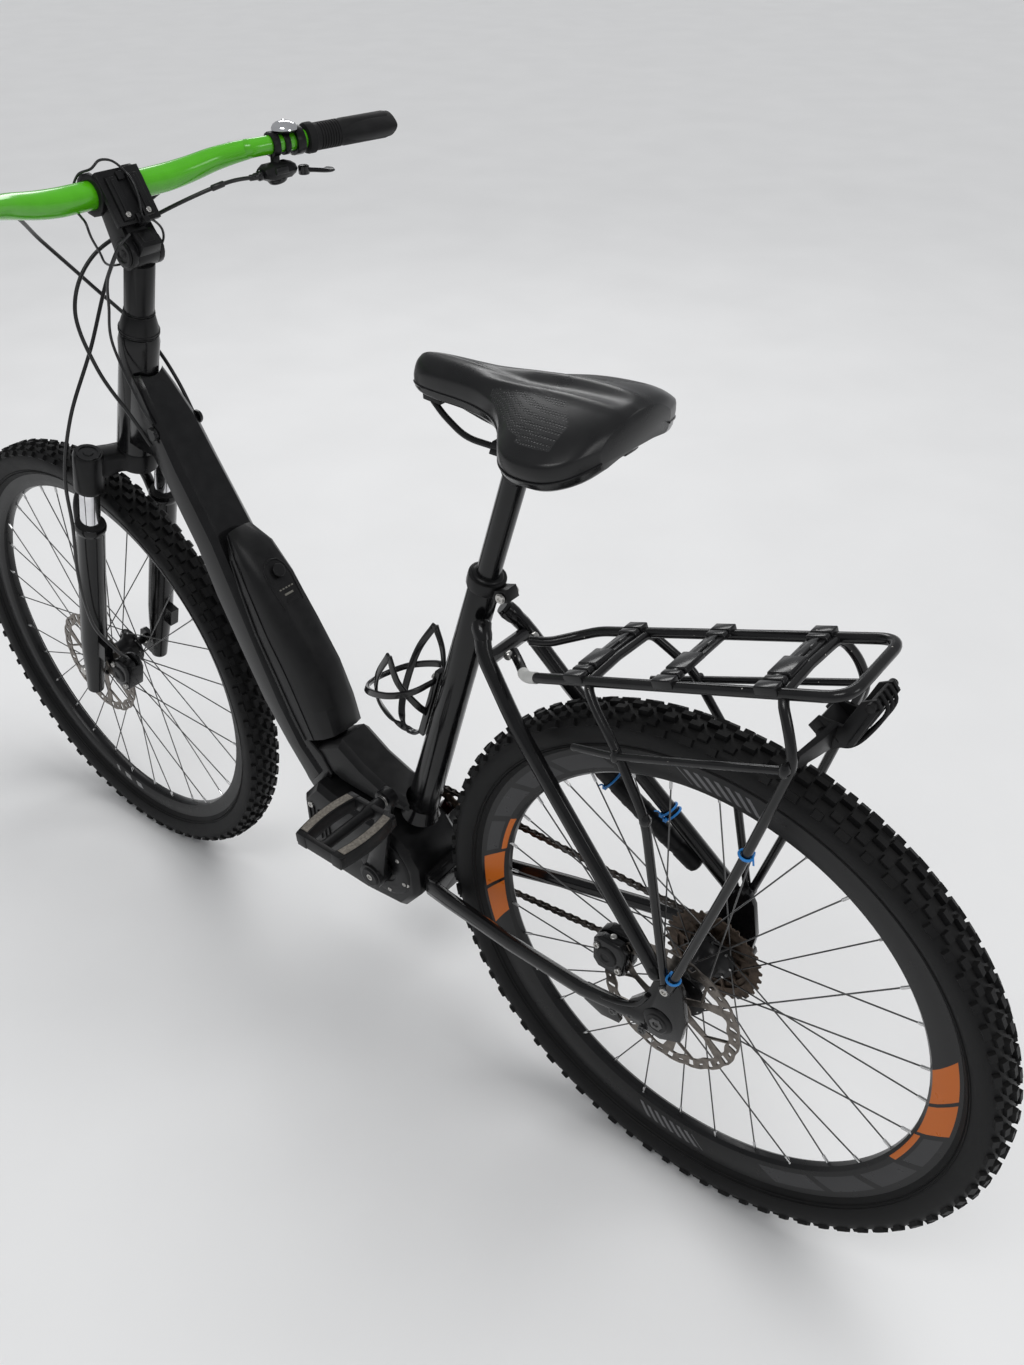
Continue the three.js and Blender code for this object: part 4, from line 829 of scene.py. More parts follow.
saddle = piece("saddle_cover", saddle_shape(), [SADDLE, DOTS, SADDLE_GLOSS], "seat", "saddle", angle=60)
welt = Shape()
for sign in (1, -1):
    line = [(x, sign * half * 0.985, low + (brow - low) * 0.37)
            for x, half, low, brow, crown, channel in SADDLE_STATIONS[1:]]
    welt.tube(smooth_path(line, 6), 1.1, 8)
piece("saddle_welt", welt, SADDLE_GLOSS, "seat")
under = Shape()
for y in (-36, 36):
    under.rings([[vec(-397 + a * (12 - k), y + b * (11 - k), z)
                  for a, b in ((-1, -1), (-1, 1), (1, 1), (1, -1))]
                 for k, z in ((0, 989), (0, 976), (3, 972))])
under.rings([[vec(x, y, z) for x, y in ((-186, -12), (-186, 12), (-212, 15), (-212, -15))]
             for z in (1001, 990)])
piece("saddle_rail_sockets", under, PLASTIC, "seat", bevel=1.5)

rails = Shape()
for sign in (1, -1):
    rails.tube(bent_path([(-198, sign * 10, 992), (-216, sign * 15, 982), (-250, sign * 22, 969),
                          (-356, sign * 22, 969), (-396, sign * 34, 978)], 16, 6), 3.4, 14)
rails.box((-304, 0, 965), (42, 54, 6), None, 0.94)
rails.box((-304, 0, 973.4), (38, 54, 5), None, 0.92)
rails.rod((-304, 0, 961.5), (-304, 0, 980), 4, 14, 0, 0.8)
piece("saddle_rails_and_cradle", rails, ANODISED, "seat", "saddle_rails", bevel=1.0, angle=45)

RACK_PAINT = surface("chipped_rack_paint", INK, 0.2, grain=2600, bump=0.03, coat=0.1, dust=0.02,
                     speckle=((0.4, 0.38, 0.35), 70, 0.05), mirror=0.35)
RACK_FRONT, RACK_REAR, RACK_HALF = vec(-367, 0, 745), vec(-690, 0, 865), 55


def on_deck(x, y):
    """A place on the rack's sloping deck."""
    share = (x - RACK_FRONT.x) / (RACK_REAR.x - RACK_FRONT.x)
    return vec(x, y, RACK_FRONT.z + (RACK_REAR.z - RACK_FRONT.z) * share)


rack = Shape()
loop = [(-300, 14, 728), (-318, 26, 726), (-344, 50, 733), (-367, RACK_HALF, 745),
        (-640, RACK_HALF, on_deck(-640, 0).z), (-690, RACK_HALF, 865), (-690, -RACK_HALF, 865),
        (-640, -RACK_HALF, on_deck(-640, 0).z), (-367, -RACK_HALF, 745), (-344, -50, 733), (-318, -26, 726),
        (-300, -14, 728)]
deck_path = bent_path(loop, 26, 8)
rack.tube(deck_path, 5.7, 18)
for sign in (1, -1):
    front = [(-426, 0, 767), (-428, sign * 58, 766), (-446, sign * 68, 748), (-472, sign * 76, 727),
             (-521, sign * 84, 653), (-564, sign * 91, 440)]
    rear = [(-630, 0, 843), (-632, sign * 58, 842), (-648, sign * 70, 820), (-660, sign * 76, 790),
            (-624, sign * 84, 640), (-570, sign * 93, 440)]
    rack.tube(bent_path(front, 20, 6), 5.1, 14)
    rack.tube(bent_path(rear, 20, 6), 5.1, 14)
    brace = [(-424, sign * 74, 694), (-480, sign * 81, 714), (-655, sign * 82, 786)]
    rack.tube(bent_path(brace, 12, 5), 4, 12)
    rack.turned((-567, sign * 86, 438), (-567, sign * 97, 438), [[7.4, 0], [8, 0.1], [8, 0.9], [7.4, 1]], 24)
    for at, grow in (((-521, sign * 84, 653), 6.2), ((-655, sign * 82, 786), 5.6),
                     ((-480, sign * 81, 714), 5.4)):
        rack.turned(Vector(at) - vec(0, 0, 7), Vector(at) + vec(0, 0, 7),
                    [[3, 0], [grow, 0.3], [grow, 0.7], [3, 1]], 14)
piece("rack_tubes", rack, RACK_PAINT, "frame", "rear_rack", angle=45)

pitch = math.atan2(RACK_REAR.z - RACK_FRONT.z, RACK_FRONT.x - RACK_REAR.x)
deck_turn = Matrix.Rotation(pitch, 3, "Y")
straps = Shape()
for x in (-414, -516, -619):
    base = on_deck(x, 0)
    lay = lambda u, y, w: base + deck_turn @ vec(u, y, w)
    straps.box(lay(0, 0, 4.0), (20, 98, 4.6), deck_turn)
    straps.box(lay(0, 0, 7.2), (9, 84, 2.6), deck_turn)
    for sign in (1, -1):
        straps.box(lay(0, sign * 55, 4.5), (23, 13.5, 9.6), deck_turn)
        straps.box(lay(0, sign * 42, 6.0), (24, 10, 6.6), deck_turn, 0.85)
    straps.box(lay(0, 18, 6.4), (25, 36, 6.4), deck_turn, 0.92)
    straps.box(lay(0, -24, 5.4), (15, 16, 6.0), deck_turn, 0.8)
piece("rack_clip_straps", straps, RACK_PAINT, "frame", bevel=1.2, angle=45)

fittings = Shape()
for sign in (1, -1):
    fittings.turned((-567, sign * 97, 438), (-567, sign * 98.6, 438),
                    [[5.4, 0], [5, 1], [3, 1], [3, 0.2]], 16)
    fittings.turned((-300, sign * 20, 728), (-300, sign * 27, 728), [[5, 0], [5, 0.8], [4, 1]], 16)
piece("rack_bolts", fittings, STEEL, "frame", angle=30)

tape = Shape()
tape.tube([p for p in deck_path[:40] if -362 < p.x < -334], 6.5, 16)
piece("rack_tape", tape, WHITE, "frame", angle=40)

lamp = Shape()
for sign in (1, -1):
    lamp.rings([[vec(x, sign * y, z) for x, z in section] for y, section in (
        (72, ((-656, 784), (-661, 783), (-663, 800), (-658, 801))),
        (40, ((-661, 782), (-667, 780), (-669, 802), (-663, 804))),
        (17, ((-664, 780), (-670, 777), (-673, 806), (-667, 808))))])
    cheek = [(-652, 806), (-645, 793), (-668, 776), (-690, 790), (-708, 838), (-701, 846), (-688, 838),
             (-676, 806)]
    lamp.plate(cheek, (sign * 15.5, sign * 19.5))
lamp.plate(((-690, 792), (-684, 790), (-700, 836), (-706, 838)), (-23, 23))
lamp.plate(((-654, 804), (-650, 797), (-672, 780), (-676, 788)), (-20, 20))
lamp.rod((-660, -25, 792), (-660, 25, 792), 5, 18, 0, 1)
lamp.rod((-699, -25, 839), (-699, 25, 839), 4.6, 18, 0, 1)
for y in (-9, 0, 9):
    strand = [(-700, y, 846), (-709, y, 832), (-697, y, 800), (-684, y, 781), (-668, y, 775)]
    lamp.tube(smooth_path(strand, 6), 2.0, 8, 1)
lamp.turned((-664, 25, 792), (-664, 25.9, 792), [[4.5, 0], [4, 1], [2, 1]], 14, 2)
piece("lamp_bracket_and_band", lamp, [PLASTIC, RUBBER, STEEL], "frame", "rear_lamp_bracket", bevel=0.8,
      angle=45)

# ---------------------------------------------------------------- bar and its controls
# x, y, z and radius of the bar's left half
BAR_POINTS = [(299, 0, 1125, 15.9), (299, 50, 1125, 15.9), (297, 78, 1126, 15.9), (292, 108, 1130, 15),
              (283, 142, 1137, 13.6), (267, 174, 1143, 12), (252, 202, 1146, 11.1), (212, 372, 1149, 11.1)]


def on_bar(y):
    """The bar's centre line out on its grip, at a distance from the middle."""
    (x0, y0, z0, _), (x1, y1, z1, _) = BAR_POINTS[-2:]
    share = (abs(y) - y0) / (y1 - y0)
    return vec(x0 + (x1 - x0) * share, y, z0 + (z1 - z0) * share)


whole_bar = [(x, -y, z, r) for x, y, z, r in reversed(BAR_POINTS)] + BAR_POINTS[1:]
fine_bar = blended(whole_bar, 8)
bar = Shape().tube([p[:3] for p in fine_bar], [p[3] for p in fine_bar], 40)
piece("lime_bar", bar, LIME, "steering", "handlebar", angle=50)

for sign, name in ((1, "left"), (-1, "right")):
    grip = Shape()
    start, end = on_bar(sign * 252), on_bar(sign * 374)
    profile = [[13, 0], [17.6, 0.01], [18.4, 0.03], [18.4, 0.09], [16.9, 0.1]]
    for k in range(9):
        at = 0.13 + k * 0.031
        profile += [[16.4, at], [16.4, at + 0.017], [15.5, at + 0.02], [15.5, at + 0.028]]
    profile += [[16.5, 0.44], [16.5, 0.95], [15.6, 0.985], [12, 1.0]]
    grip.turned(start, end, profile, 40)
    rings = []
    for out, reach in ((286, 15), (300, 18), (318, 23), (340, 26.4), (358, 26.4), (370, 24), (375, 19)):
        at = on_bar(sign * out)
        ring = []
        for k in range(28):
            turn = TAU * k / 28
            backward = max(0.0, -math.cos(turn)) ** 0.8
            r = 16.3 + (reach - 16.3) * backward
            ring.append(at + vec(r * math.cos(turn), 0, (15.4 - 5.5 * backward ** 3) * math.sin(turn)))
        rings.append(ring)
    grip.rings(rings)
    for k in range(11):
        at = on_bar(sign * (300 + k * 6.2))
        grip.tube([at + vec(12 * math.cos(t), 0, 15.2 * math.sin(t) + 0.4)
                   for t in (0.9, 1.2, 1.57, 1.9, 2.2)], 0.9, 6)
    grip.turned(on_bar(sign * 373), on_bar(sign * 377.6), [[15, 0], [14.6, 0.6], [12, 1], [6, 1]], 32, 1)
    piece(f"grip_{name}_ribbed", grip, [RUBBER, PLASTIC], "steering", f"grip_{name}", angle=35)
    bolts = Shape()
    for y, high, forward in ((241.5, 15.6, 6), (241.5, -15.6, 8)):
        at = on_bar(sign * y) + vec(forward, 0, high)
        bolts.turned(at, at + vec(0.6, 0, math.copysign(2.4, high)),
                     [[4.2, 0], [4.2, 0.7], [3.4, 1], [1.8, 1], [1.8, 0.3]], 14)
    pivot = joint_at(f"brake_lever_{name}")
    bolts.turned(pivot + vec(0, 0, 8.4), pivot + vec(0, 0, 10.4), [[4.6, 0], [4.2, 1], [2, 1], [2, 0.4]], 14)
    piece(f"brake_{name}_bolts", bolts, STEEL, "steering", angle=30)

bell_at = on_bar(-225)
bell = Shape()
bell_spot = (bell_at.x - 3, bell_at.y, bell_at.z)
bell.revolve([[0.01, 25.5], [5, 25.2], [10, 24], [14, 21.6], [16.4, 18.2], [17, 15.4], [16.4, 15],
              [0.01, 15.4]], 48, centre=bell_spot, axis="Z", closed=False)
bell.revolve([[0.01, 26.8], [2.6, 26.5], [3.2, 25.4], [0.01, 25]], 20, centre=bell_spot, axis="Z",
             closed=False)
bell.revolve([[6, 9], [6, 12.8], [14.6, 13.2], [15.4, 14.9], [0.01, 14.9], [0.01, 9]], 32, 1,
             centre=bell_spot, axis="Z", closed=False)
bell.turned(on_bar(-220), on_bar(-227.5),
            [[11.4, 0], [14, 0.02], [14.4, 0.1], [14.4, 0.9], [14, 0.98], [11.4, 1]], 32, 1)
piece("bell_dome", bell, [CHROME, PLASTIC], "steering", "bell", angle=35)

shifter_trim = Shape()
pod = vec(247, -206, 1116)
shifter_trim.turned(pod + vec(0, 0, -6), pod + vec(0, -2, -13.5),
                    [[13, 0], [13.6, 0.3], [12, 0.8], [8, 1]], 28)
shifter_trim.turned(pod + vec(0, 22, -1), pod + vec(2, 36, -1),
                    [[6, 0], [6.4, 0.5], [4.4, 0.6], [4.2, 0.95], [3, 1]], 20)
shifter_trim.box(pod + vec(-14, 4, 3), (9, 22, 8), None, 0.8)
piece("shifter_details", shifter_trim, GLOSS_PLASTIC, "steering", bevel=0.8, angle=45)

tilt = Matrix.Rotation(math.radians(-62), 3, "Y")
mount = Shape()
lay = lambda u, v, w: vec(272, 0, 1122) + tilt @ vec(u, v, w)
for y in (-14, 14):
    mount.box(lay(-2, y, 5.0), (52, 15, 4.6), tilt, 0.92)
    mount.box(lay(0, y, 7.6), (38, 4.2, 1.8), tilt)
    mount.turned(lay(-21, y, 6.9), lay(-21, y, 9.2),
                 [[3.6, 0], [3.4, 0.8], [2.6, 1], [1.4, 1], [1.4, 0.5]], 16, 1)
mount.box(lay(22, 0, 4.6), (10, 10, 4), tilt, 0.9)
mount.box(lay(-27, 0, 4.2), (12, 8, 5), tilt, 0.9)
piece("display_mount_tongues", mount, [PLASTIC, STEEL], "steering", bevel=0.8, angle=45)

foot = joint_at("steering")
axis = Vector(next(j for j in frame["joints"] if j["child"] == "steering")["axis"]).normalized()
forward = vec(axis.z, 0, -axis.x)


def on_steering(ahead, y, along):
    """A place beside the steering's axis, in millimetres ahead of it, to the left and up along it."""
    return foot + forward * ahead + axis * along + vec(0, y, 0)


steer_turn = Matrix((forward, vec(0, 1, 0), axis)).transposed()
stem = Shape()
cap_turn = steer_turn @ Matrix.Rotation(math.radians(-24), 3, "Y")
stem.box(on_steering(-10, 0, 768), (26, 30, 14), cap_turn, 0.86)
stem.box(on_steering(-12, 0, 774.5), (15, 18, 3), cap_turn, 0.85)
for sign in (1, -1):
    centre = on_steering(0, sign * 22, 752)
    stem.turned(centre, centre + vec(0, sign * 2.4, 0),
                [[15.5, 0], [15.5, 0.5], [14, 1], [10, 1], [9.6, 0.5], [5, 0.5], [4.6, 0.9], [2.4, 0.9]], 36)
for k, (along, r) in enumerate(((642.5, 25.6), (646, 25.6), (650, 23.4), (668.6, 19.6), (671, 19.2))):
    stem.turned(on_steering(0, 0, along), on_steering(0, 0, along + 1.6),
                [[r - 0.8, 0], [r, 0.3], [r, 0.7], [r - 0.8, 1]], 40)
piece("stem_cover_and_rings", stem, ANODISED, "steering", bevel=0.6, angle=45)

# ---------------------------------------------------------------- fork
LEG_AHEAD, LEG_Y, CROWN_TOP = 22, 64, 461
crown = Shape()
rings = []
for y in range(-62, 63, 4):
    bend = min(1.0, abs(y) / 55)
    ahead = 22 * bend
    half = 25 - 6 * min(1, abs(y) / 30)
    low_at = 430 - 8 * max(0.0, min(1.0, (abs(y) - 32) / 12))
    ring = []
    for t in turns(28):
        z = (low_at + CROWN_TOP) / 2 + boxy(math.sin(t), 0.55) * (CROWN_TOP - low_at) / 2
        ring.append(on_steering(ahead + boxy(math.cos(t), 0.55) * half, y, z))
    rings.append(ring)
crown.rings(rings)
crown.turned(on_steering(0, 0, 434), on_steering(0, 0, 463), [[27, 0], [27, 0.9], [25, 1]], 40)
for y in (LEG_Y, -LEG_Y):
    crown.turned(on_steering(LEG_AHEAD, y, 400), on_steering(LEG_AHEAD, y, 462),
                 [[18.6, 0], [20.2, 0.03], [20.4, 0.1], [20.4, 0.94], [18.5, 1]], 40)
    crown.turned(on_steering(LEG_AHEAD, y, 461.5), on_steering(LEG_AHEAD, y, 463.4),
                 [[16.5, 0], [15.8, 1], [12.5, 1], [12, 0.3], [7, 0.3], [6.4, 0.9], [3, 0.9]], 36, 1)
piece("fork_crown", crown, [ANODISED, GLOSS_PLASTIC], "steering", "fork_upper", angle=40)
tubes = Shape()
for y in (LEG_Y, -LEG_Y):
    tubes.rod(on_steering(LEG_AHEAD, y, 221), on_steering(LEG_AHEAD, y, 402), 13.9, 40)
piece("fork_stanchions", tubes, CHROME, "steering", angle=40)

lowers = Shape()
leg = [[2, -24], [11, -24], [13, -22], [14, 0], [15.4, 25], [18.2, 60], [19.8, 95], [19.8, 322], [20.4, 325],
       [22, 328], [22, 333], [20.8, 337], [16, 338], [14.6, 338]]
for y in (LEG_Y, -LEG_Y):
    lowers.turned(on_steering(LEG_AHEAD, y, -24), on_steering(LEG_AHEAD, y, 338),
                  [[r, (a + 24) / 362] for r, a in leg], 40)
    inner = y - math.copysign(9, y)
    outline = [(18, -20), (50, -20), (56, -14), (56, 14), (50, 20), (18, 22)]
    lowers.rings([[on_steering(a, inner + s, b) for a, b in outline] for s in (-4, 4)])
    lug = ((-13, 76), (6, 76), (6, 108), (-13, 108), (-13, 100))
    lowers.rings([[on_steering(a, y + s, b) for a, b in lug] for s in (-7.4, 7.4)])
arch = [(45, 64, 318), (58, 58, 352), (62, 34, 383), (62, -34, 383), (58, -58, 352), (45, -64, 318)]
lowers.tube(bent_path([on_steering(a, y, z) for a, y, z in arch], 24, 8), 8, 22)
piece("fork_lower_legs", lowers, FRAME_BLACK, "fork_lowers", "fork_lowers", angle=40)
seals = Shape()
for y in (LEG_Y, -LEG_Y):
    for k in range(3):
        seals.turned(on_steering(LEG_AHEAD, y, 333.5 + k * 1.7), on_steering(LEG_AHEAD, y, 334.7 + k * 1.7),
                     [[20, 0], [21.6 - k, 0.3], [21.6 - k, 0.7], [20 - k, 1]], 36)
    seals.turned(on_steering(45, y - math.copysign(13.5, y), 0), on_steering(45, y + math.copysign(6, y), 0),
                 [[9, 0], [9, 0.8], [7, 1]], 24, 1)
piece("fork_seals_and_axle", seals, [RUBBER, STEEL], "fork_lowers", angle=40)

# ---------------------------------------------------------------- hoses, cage and small fittings on the frame
def hose(name, points, radius, replaces, sleeves=()):
    """A cable through points, with sleeves on it."""
    path = smooth_path(points, 14)
    shape = Shape().tube(path, radius, 14)
    for share in sleeves:
        k = int(share * (len(path) - 1))
        along = (path[k + 1] - path[k]).normalized()
        shape.turned(path[k] - along * 9, path[k] + along * 9,
                     [[radius, 0], [radius + 1.3, 0.08], [radius + 1.3, 0.92], [radius, 1]], 16)
    obj = piece(name, shape, HOSE, None, replaces, angle=50)
    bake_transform(obj)
    return obj


HOSE = surface("hose_jacket", (0.008, 0.008, 0.0085), 0.34, grain=1400, bump=0.03, coat=0.1)
right_pivot, left_pivot = joint_at("brake_lever_right"), joint_at("brake_lever_left")
front_hose = [right_pivot + vec(11, 44, 7), (310, -120, 1122), (348, -70, 1085), (368, -20, 1020),
              (374, 30, 930), (386, 74, 850), (400, 96, 770), (412, 98, 690), (436, 97, 600), (450, 88, 510),
              (451, 66, 455), (452, 48, 424)]
rear_hose = [left_pivot + vec(11, -44, 7), (318, 120, 1120), (372, 62, 1070), (385, 5, 1005), (352, -38, 935),
             (308, -44, 880), (262, -39, 808), (250, -38.2, 792)]
gear_line = [vec(247.2, -180, 1114.2), (262, -130, 1112), (318, -60, 1080), (352, 10, 1045), (352, 52, 990),
             (330, 54, 920), (292, 44, 860), (272, 38.5, 826)]
display_line = [(252, 20, 1087), (255, 38, 1074), (272, 48, 1040), (296, 40, 1000), (312, 36, 950),
                (280, 38, 884), (262, 37.5, 858)]
hose("front_hose", front_hose, 2.5, "front_brake_hose",
     (0.03,))
hose("rear_hose", rear_hose, 2.5, "rear_brake_hose",
     (0.04,))
hose("gear_line", gear_line, 2.5, "gear_cable",
     (0.03, 0.16))
hose("display_line", display_line, 1.8, "display_wire")

lead = Shape()
lead_points = [(255, -3, 1106), (254, -5, 1099), (258, -20, 1093), (262, -32, 1080), (266, -33, 1066),
               (280, -28, 1052), (302, -10, 1042), (304, 14, 1042), (292, 34, 1051), (277, 48, 1069),
               (275, 56, 1088), (281, 55, 1102), (296, 50, 1106), (315, 44, 1112), (320, 38, 1130),
               (308, 34, 1147), (290, 28, 1154), (285, 18, 1162), (283, 3, 1159), (277, -7, 1147),
               (266, -8, 1136), (259, -6, 1122), (255, -3, 1106)]
lead.tube(smooth_path(lead_points, 6), 1.5, 8)
lead.box((252, -2, 1097), (8, 9, 17), tilt, 0.85, 1)
piece("display_lead", lead, [HOSE, PLASTIC], "steering", bevel=0.5, angle=50)

LEAN = math.radians(72.4)
BOTTLE_AHEAD = 66
FOOT_RADIUS, FOOT_STRETCH = 20.5, 1.18


def on_seat_tube(up, ahead=0.0, y=0.0):
    """A place beside the seat tube's line, up along it from the cranks' axis."""
    x = BRACKET.x - up * math.cos(LEAN) + ahead * math.sin(LEAN)
    return vec(x, y, BRACKET.z + up * math.sin(LEAN) + ahead * math.cos(LEAN))


STRAP_SECTION = [(1, 0.5), (0.8, 1), (-0.8, 1), (-1, 0.5), (-1, -0.5), (-0.8, -1), (0.8, -1), (1, -0.5)]


def strap_shape(shape, path, wide, thick):
    """A flat band around the bottle's axis, with its broad side facing the bottle."""
    rings = []
    for i, p in enumerate(path):
        along = (path[min(i + 1, len(path) - 1)] - path[max(i - 1, 0)]).normalized()
        up = (p.z - BRACKET.z) * math.sin(LEAN) - (p.x - BRACKET.x) * math.cos(LEAN)
        out = (p - on_seat_tube(up, BOTTLE_AHEAD)).normalized()
        across = along.cross(out).normalized()
        out = across.cross(along).normalized()
        w, t = wide / 2, thick / 2
        rings.append([p + across * a * w + out * b * t for a, b in STRAP_SECTION])
    shape.rings(rings)


cage = Shape()
hoop = [(322, 27, 7), (310, 38, 32), (290, 62, 43), (262, 96, 36), (240, 118, 14)]
band = [(262, 27, 5), (286, 33, 24), (318, 55, 41), (349, 76, 41.5), (300, 89, 38), (255, 89, 29),
        (218, 78, 13), (203, 60, 2), (207, 40, 0), (228, 27, 0)]
across = lambda path, sign: [on_seat_tube(u, f, sign * y) for u, f, y in path]
strap_shape(cage, smooth_path(across(hoop, 1) + across(hoop, -1)[::-1], 8), 9, 4.4)
for sign in (1, -1):
    strap_shape(cage, smooth_path(across(band[:4], sign), 8), 9, 4)
    strap_shape(cage, smooth_path(across(band[3:], sign), 8), 9, 4)
cage.box(on_seat_tube(279, 27), (9, 15, 116), Matrix.Rotation(LEAN - math.pi / 2, 3, "Y"), 0.8)
for up in (258, 322):
    cage.turned(on_seat_tube(up, 31), on_seat_tube(up, 35),
                [[4.6, 0], [4.6, 0.6], [3.8, 1], [2, 1], [2, 0.4]], 18, 1)
piece("bottle_cage_bands", cage, [GLOSS_PLASTIC, STEEL], "frame", "bottle_cage", bevel=0.7, angle=45)

pump = Shape()
PUMP_TOP, PUMP_FOOT = vec(-372, -52, 560), vec(-505, -76, 452)
barrel = [[7, 0], [10.5, 0.02], [12, 0.06], [12, 0.16], [11, 0.17], [11, 0.19], [12, 0.2], [12, 0.78],
          [11, 0.79], [11, 0.81], [12, 0.82], [12, 0.95], [10.5, 0.985], [7, 1]]
pump.turned(PUMP_TOP, PUMP_FOOT, barrel, 36)
for share in (0.3, 0.42, 0.54, 0.66):
    a, b = PUMP_TOP.lerp(PUMP_FOOT, share), PUMP_TOP.lerp(PUMP_FOOT, share + 0.05)
    pump.turned(a, b, [[11.8, 0], [12.5, 0.2], [12.5, 0.8], [11.8, 1]], 30)
piece("pump_sleeve", pump, PLASTIC, "frame", "frame_pump", angle=40)


def tie(shape, centre, along, radius, tail):
    """A cable tie round a tube, with its head and cut tail."""
    along = Vector(along).normalized()
    one = along.cross(vec(0, 0, 1)).normalized()
    two = along.cross(one)
    ring = [Vector(centre) + (one * math.cos(t) + two * math.sin(t)) * radius for t in turns(32)]
    shape.tube(ring, 1.5, 8, closed=True)
    head = ring[4]
    shape.box(head, (5, 5, 5))
    shape.tube([head, head + Vector(tail) * 0.5 + vec(0, 0, 3), head + Vector(tail)], 1.1, 6)


ties = Shape()
stay = vec(-549.8, -82, 438.6) - vec(-330, -49, 661)
tie(ties, (-463, -69, 526), stay, 11.2, (6, 8, 9))
tie(ties, (-468, -69.8, 521), stay, 11.2, (-6, 9, 8))
tie(ties, (-392, -55.6, 544), (-133, -24, -108), 13.2, (4, 8, 6))
tie(ties, (-631, 82.4, 670), (36, 8, -150), 6.8, (-7, 9, -4))
tie(ties, (-574, 92, 458), (0, 4, -200), 7.4, (6, 8, -10))
piece("blue_ties", ties, BLUE, "frame", bevel=0.4, angle=45)

# Battery: parting line, a lower rib, the status panel with its marks, and the button
battery = Shape()
spine = [(168, 727), (134, 709), (100, 672), (62, 614), (28, 560), (9, 510), (1, 470)]
seat_line = [(174, 716), (163, 689), (149, 648), (130, 590), (106, 534), (83, 482), (61, 441)]
halves = [20, 30, 34, 36, 36, 36, 36]
for sign in (1, -1):
    seam = [vec(t[0] + (b[0] - t[0]) * 0.62, sign * (h + 0.2), t[1] + (b[1] - t[1]) * 0.62)
            for t, b, h in zip(spine, seat_line, halves)]
    battery.tube(smooth_path(seam, 8), 0.9, 6)
    rib = [vec(t[0] + (b[0] - t[0]) * 0.9, sign * (h + 0.1), t[1] + (b[1] - t[1]) * 0.9)
           for t, b, h in zip(spine, seat_line, halves)]
    battery.tube(smooth_path(rib[1:], 8), 1.5, 8)


def on_case(u, v, lift=0.0):
    """A point on the battery's sloping face, u below its upper bend; the face falls away at its sides."""
    down = vec(-0.548, 0, -0.836) if u > 0 else vec(-0.677, 0, -0.736)
    out = vec(down.z, 0, -down.x)
    drop = 5.6 * max(0.0, (abs(v) - 12.6) / 13.4)
    return vec(100, v, 672) + down * u + out * (lift - drop)


lie = Matrix((vec(-0.548, 0, -0.836), vec(0, 1, 0), vec(-0.836, 0, 0.548))).transposed()
arch = [(38, -17), (0, -19), (-16, -17), (-25, -10), (-28, 0), (-25, 10), (-16, 17), (0, 19), (38, 17)]
battery.tube([on_case(u, v, 0.3) for u, v in arch], 1.3, 8, closed=True)
for v in (-10, -5, 0, 5, 10):
    battery.box(on_case(14, v, 0.3), (2.2, 3.4, 1.2), lie, 0.9, 1)
battery.box(on_case(22, 0, 0.2), (3, 15, 0.9), lie, 0.9, 1)
battery.box(on_case(31, 0, 0.3), (5, 20, 1.4), lie, 0.9)
button_at, press = vec(101, 0, 684), vec(-0.82, 0, 0.57).normalized()
battery.turned(button_at - press * 2, button_at + press * 0.7,
               [[7.6, 0], [9, 0.3], [9, 0.8], [8, 1], [6.8, 1]], 36)
PANEL = surface("dull_status_marks", (0.12, 0.115, 0.1), 0.5)
piece("battery_trim", battery, [PLASTIC, PANEL], "frame", bevel=0.4, angle=45)

# Down tube and stays: the rippled weld at the seat tube's foot, cable ports and collars
BEAD_RIPPLES = 44
welds = Shape()
foot_ring = [on_seat_tube(79, -math.cos(t) * FOOT_RADIUS * FOOT_STRETCH, math.sin(t) * FOOT_RADIUS)
             for t in turns(BEAD_RIPPLES * 3)]
welds.tube(foot_ring, [2.1 + 0.35 * math.sin(TAU * k / 3) for k in range(len(foot_ring))], 6, closed=True)
welds.turned(on_seat_tube(76), on_seat_tube(96), [[27, 0], [24.6, 0.3], [22.6, 0.7], [20.6, 1]], 40)
for sign in (1, -1):
    a = vec(-549.8, sign * 82, 438.6)
    along = (vec(-330, sign * 49, 661) - a).normalized()
    welds.turned(a - along * 5, a + along * 13,
                 [[5.5, 0], [8.6, 0.2], [10.1, 0.45], [9.9, 0.8], [9.2, 1]], 24)
    b = vec(-266, sign * 26, 746)
    welds.turned(b + vec(8, -sign * 6, 8), b - vec(6, -sign * 4, 8),
                 [[9, 0], [11, 0.3], [10.6, 0.7], [9, 1]], 24)
    port = vec(267, sign * 37, 842)
    welds.turned(port - vec(0, sign * 3, 0), port + vec(0, sign * 2.2, 0),
                 [[9, 0], [9, 0.6], [7.6, 1], [4, 1]], 24)
piece("weld_beads_and_ports", welds, FRAME_BLACK, "frame", angle=50)

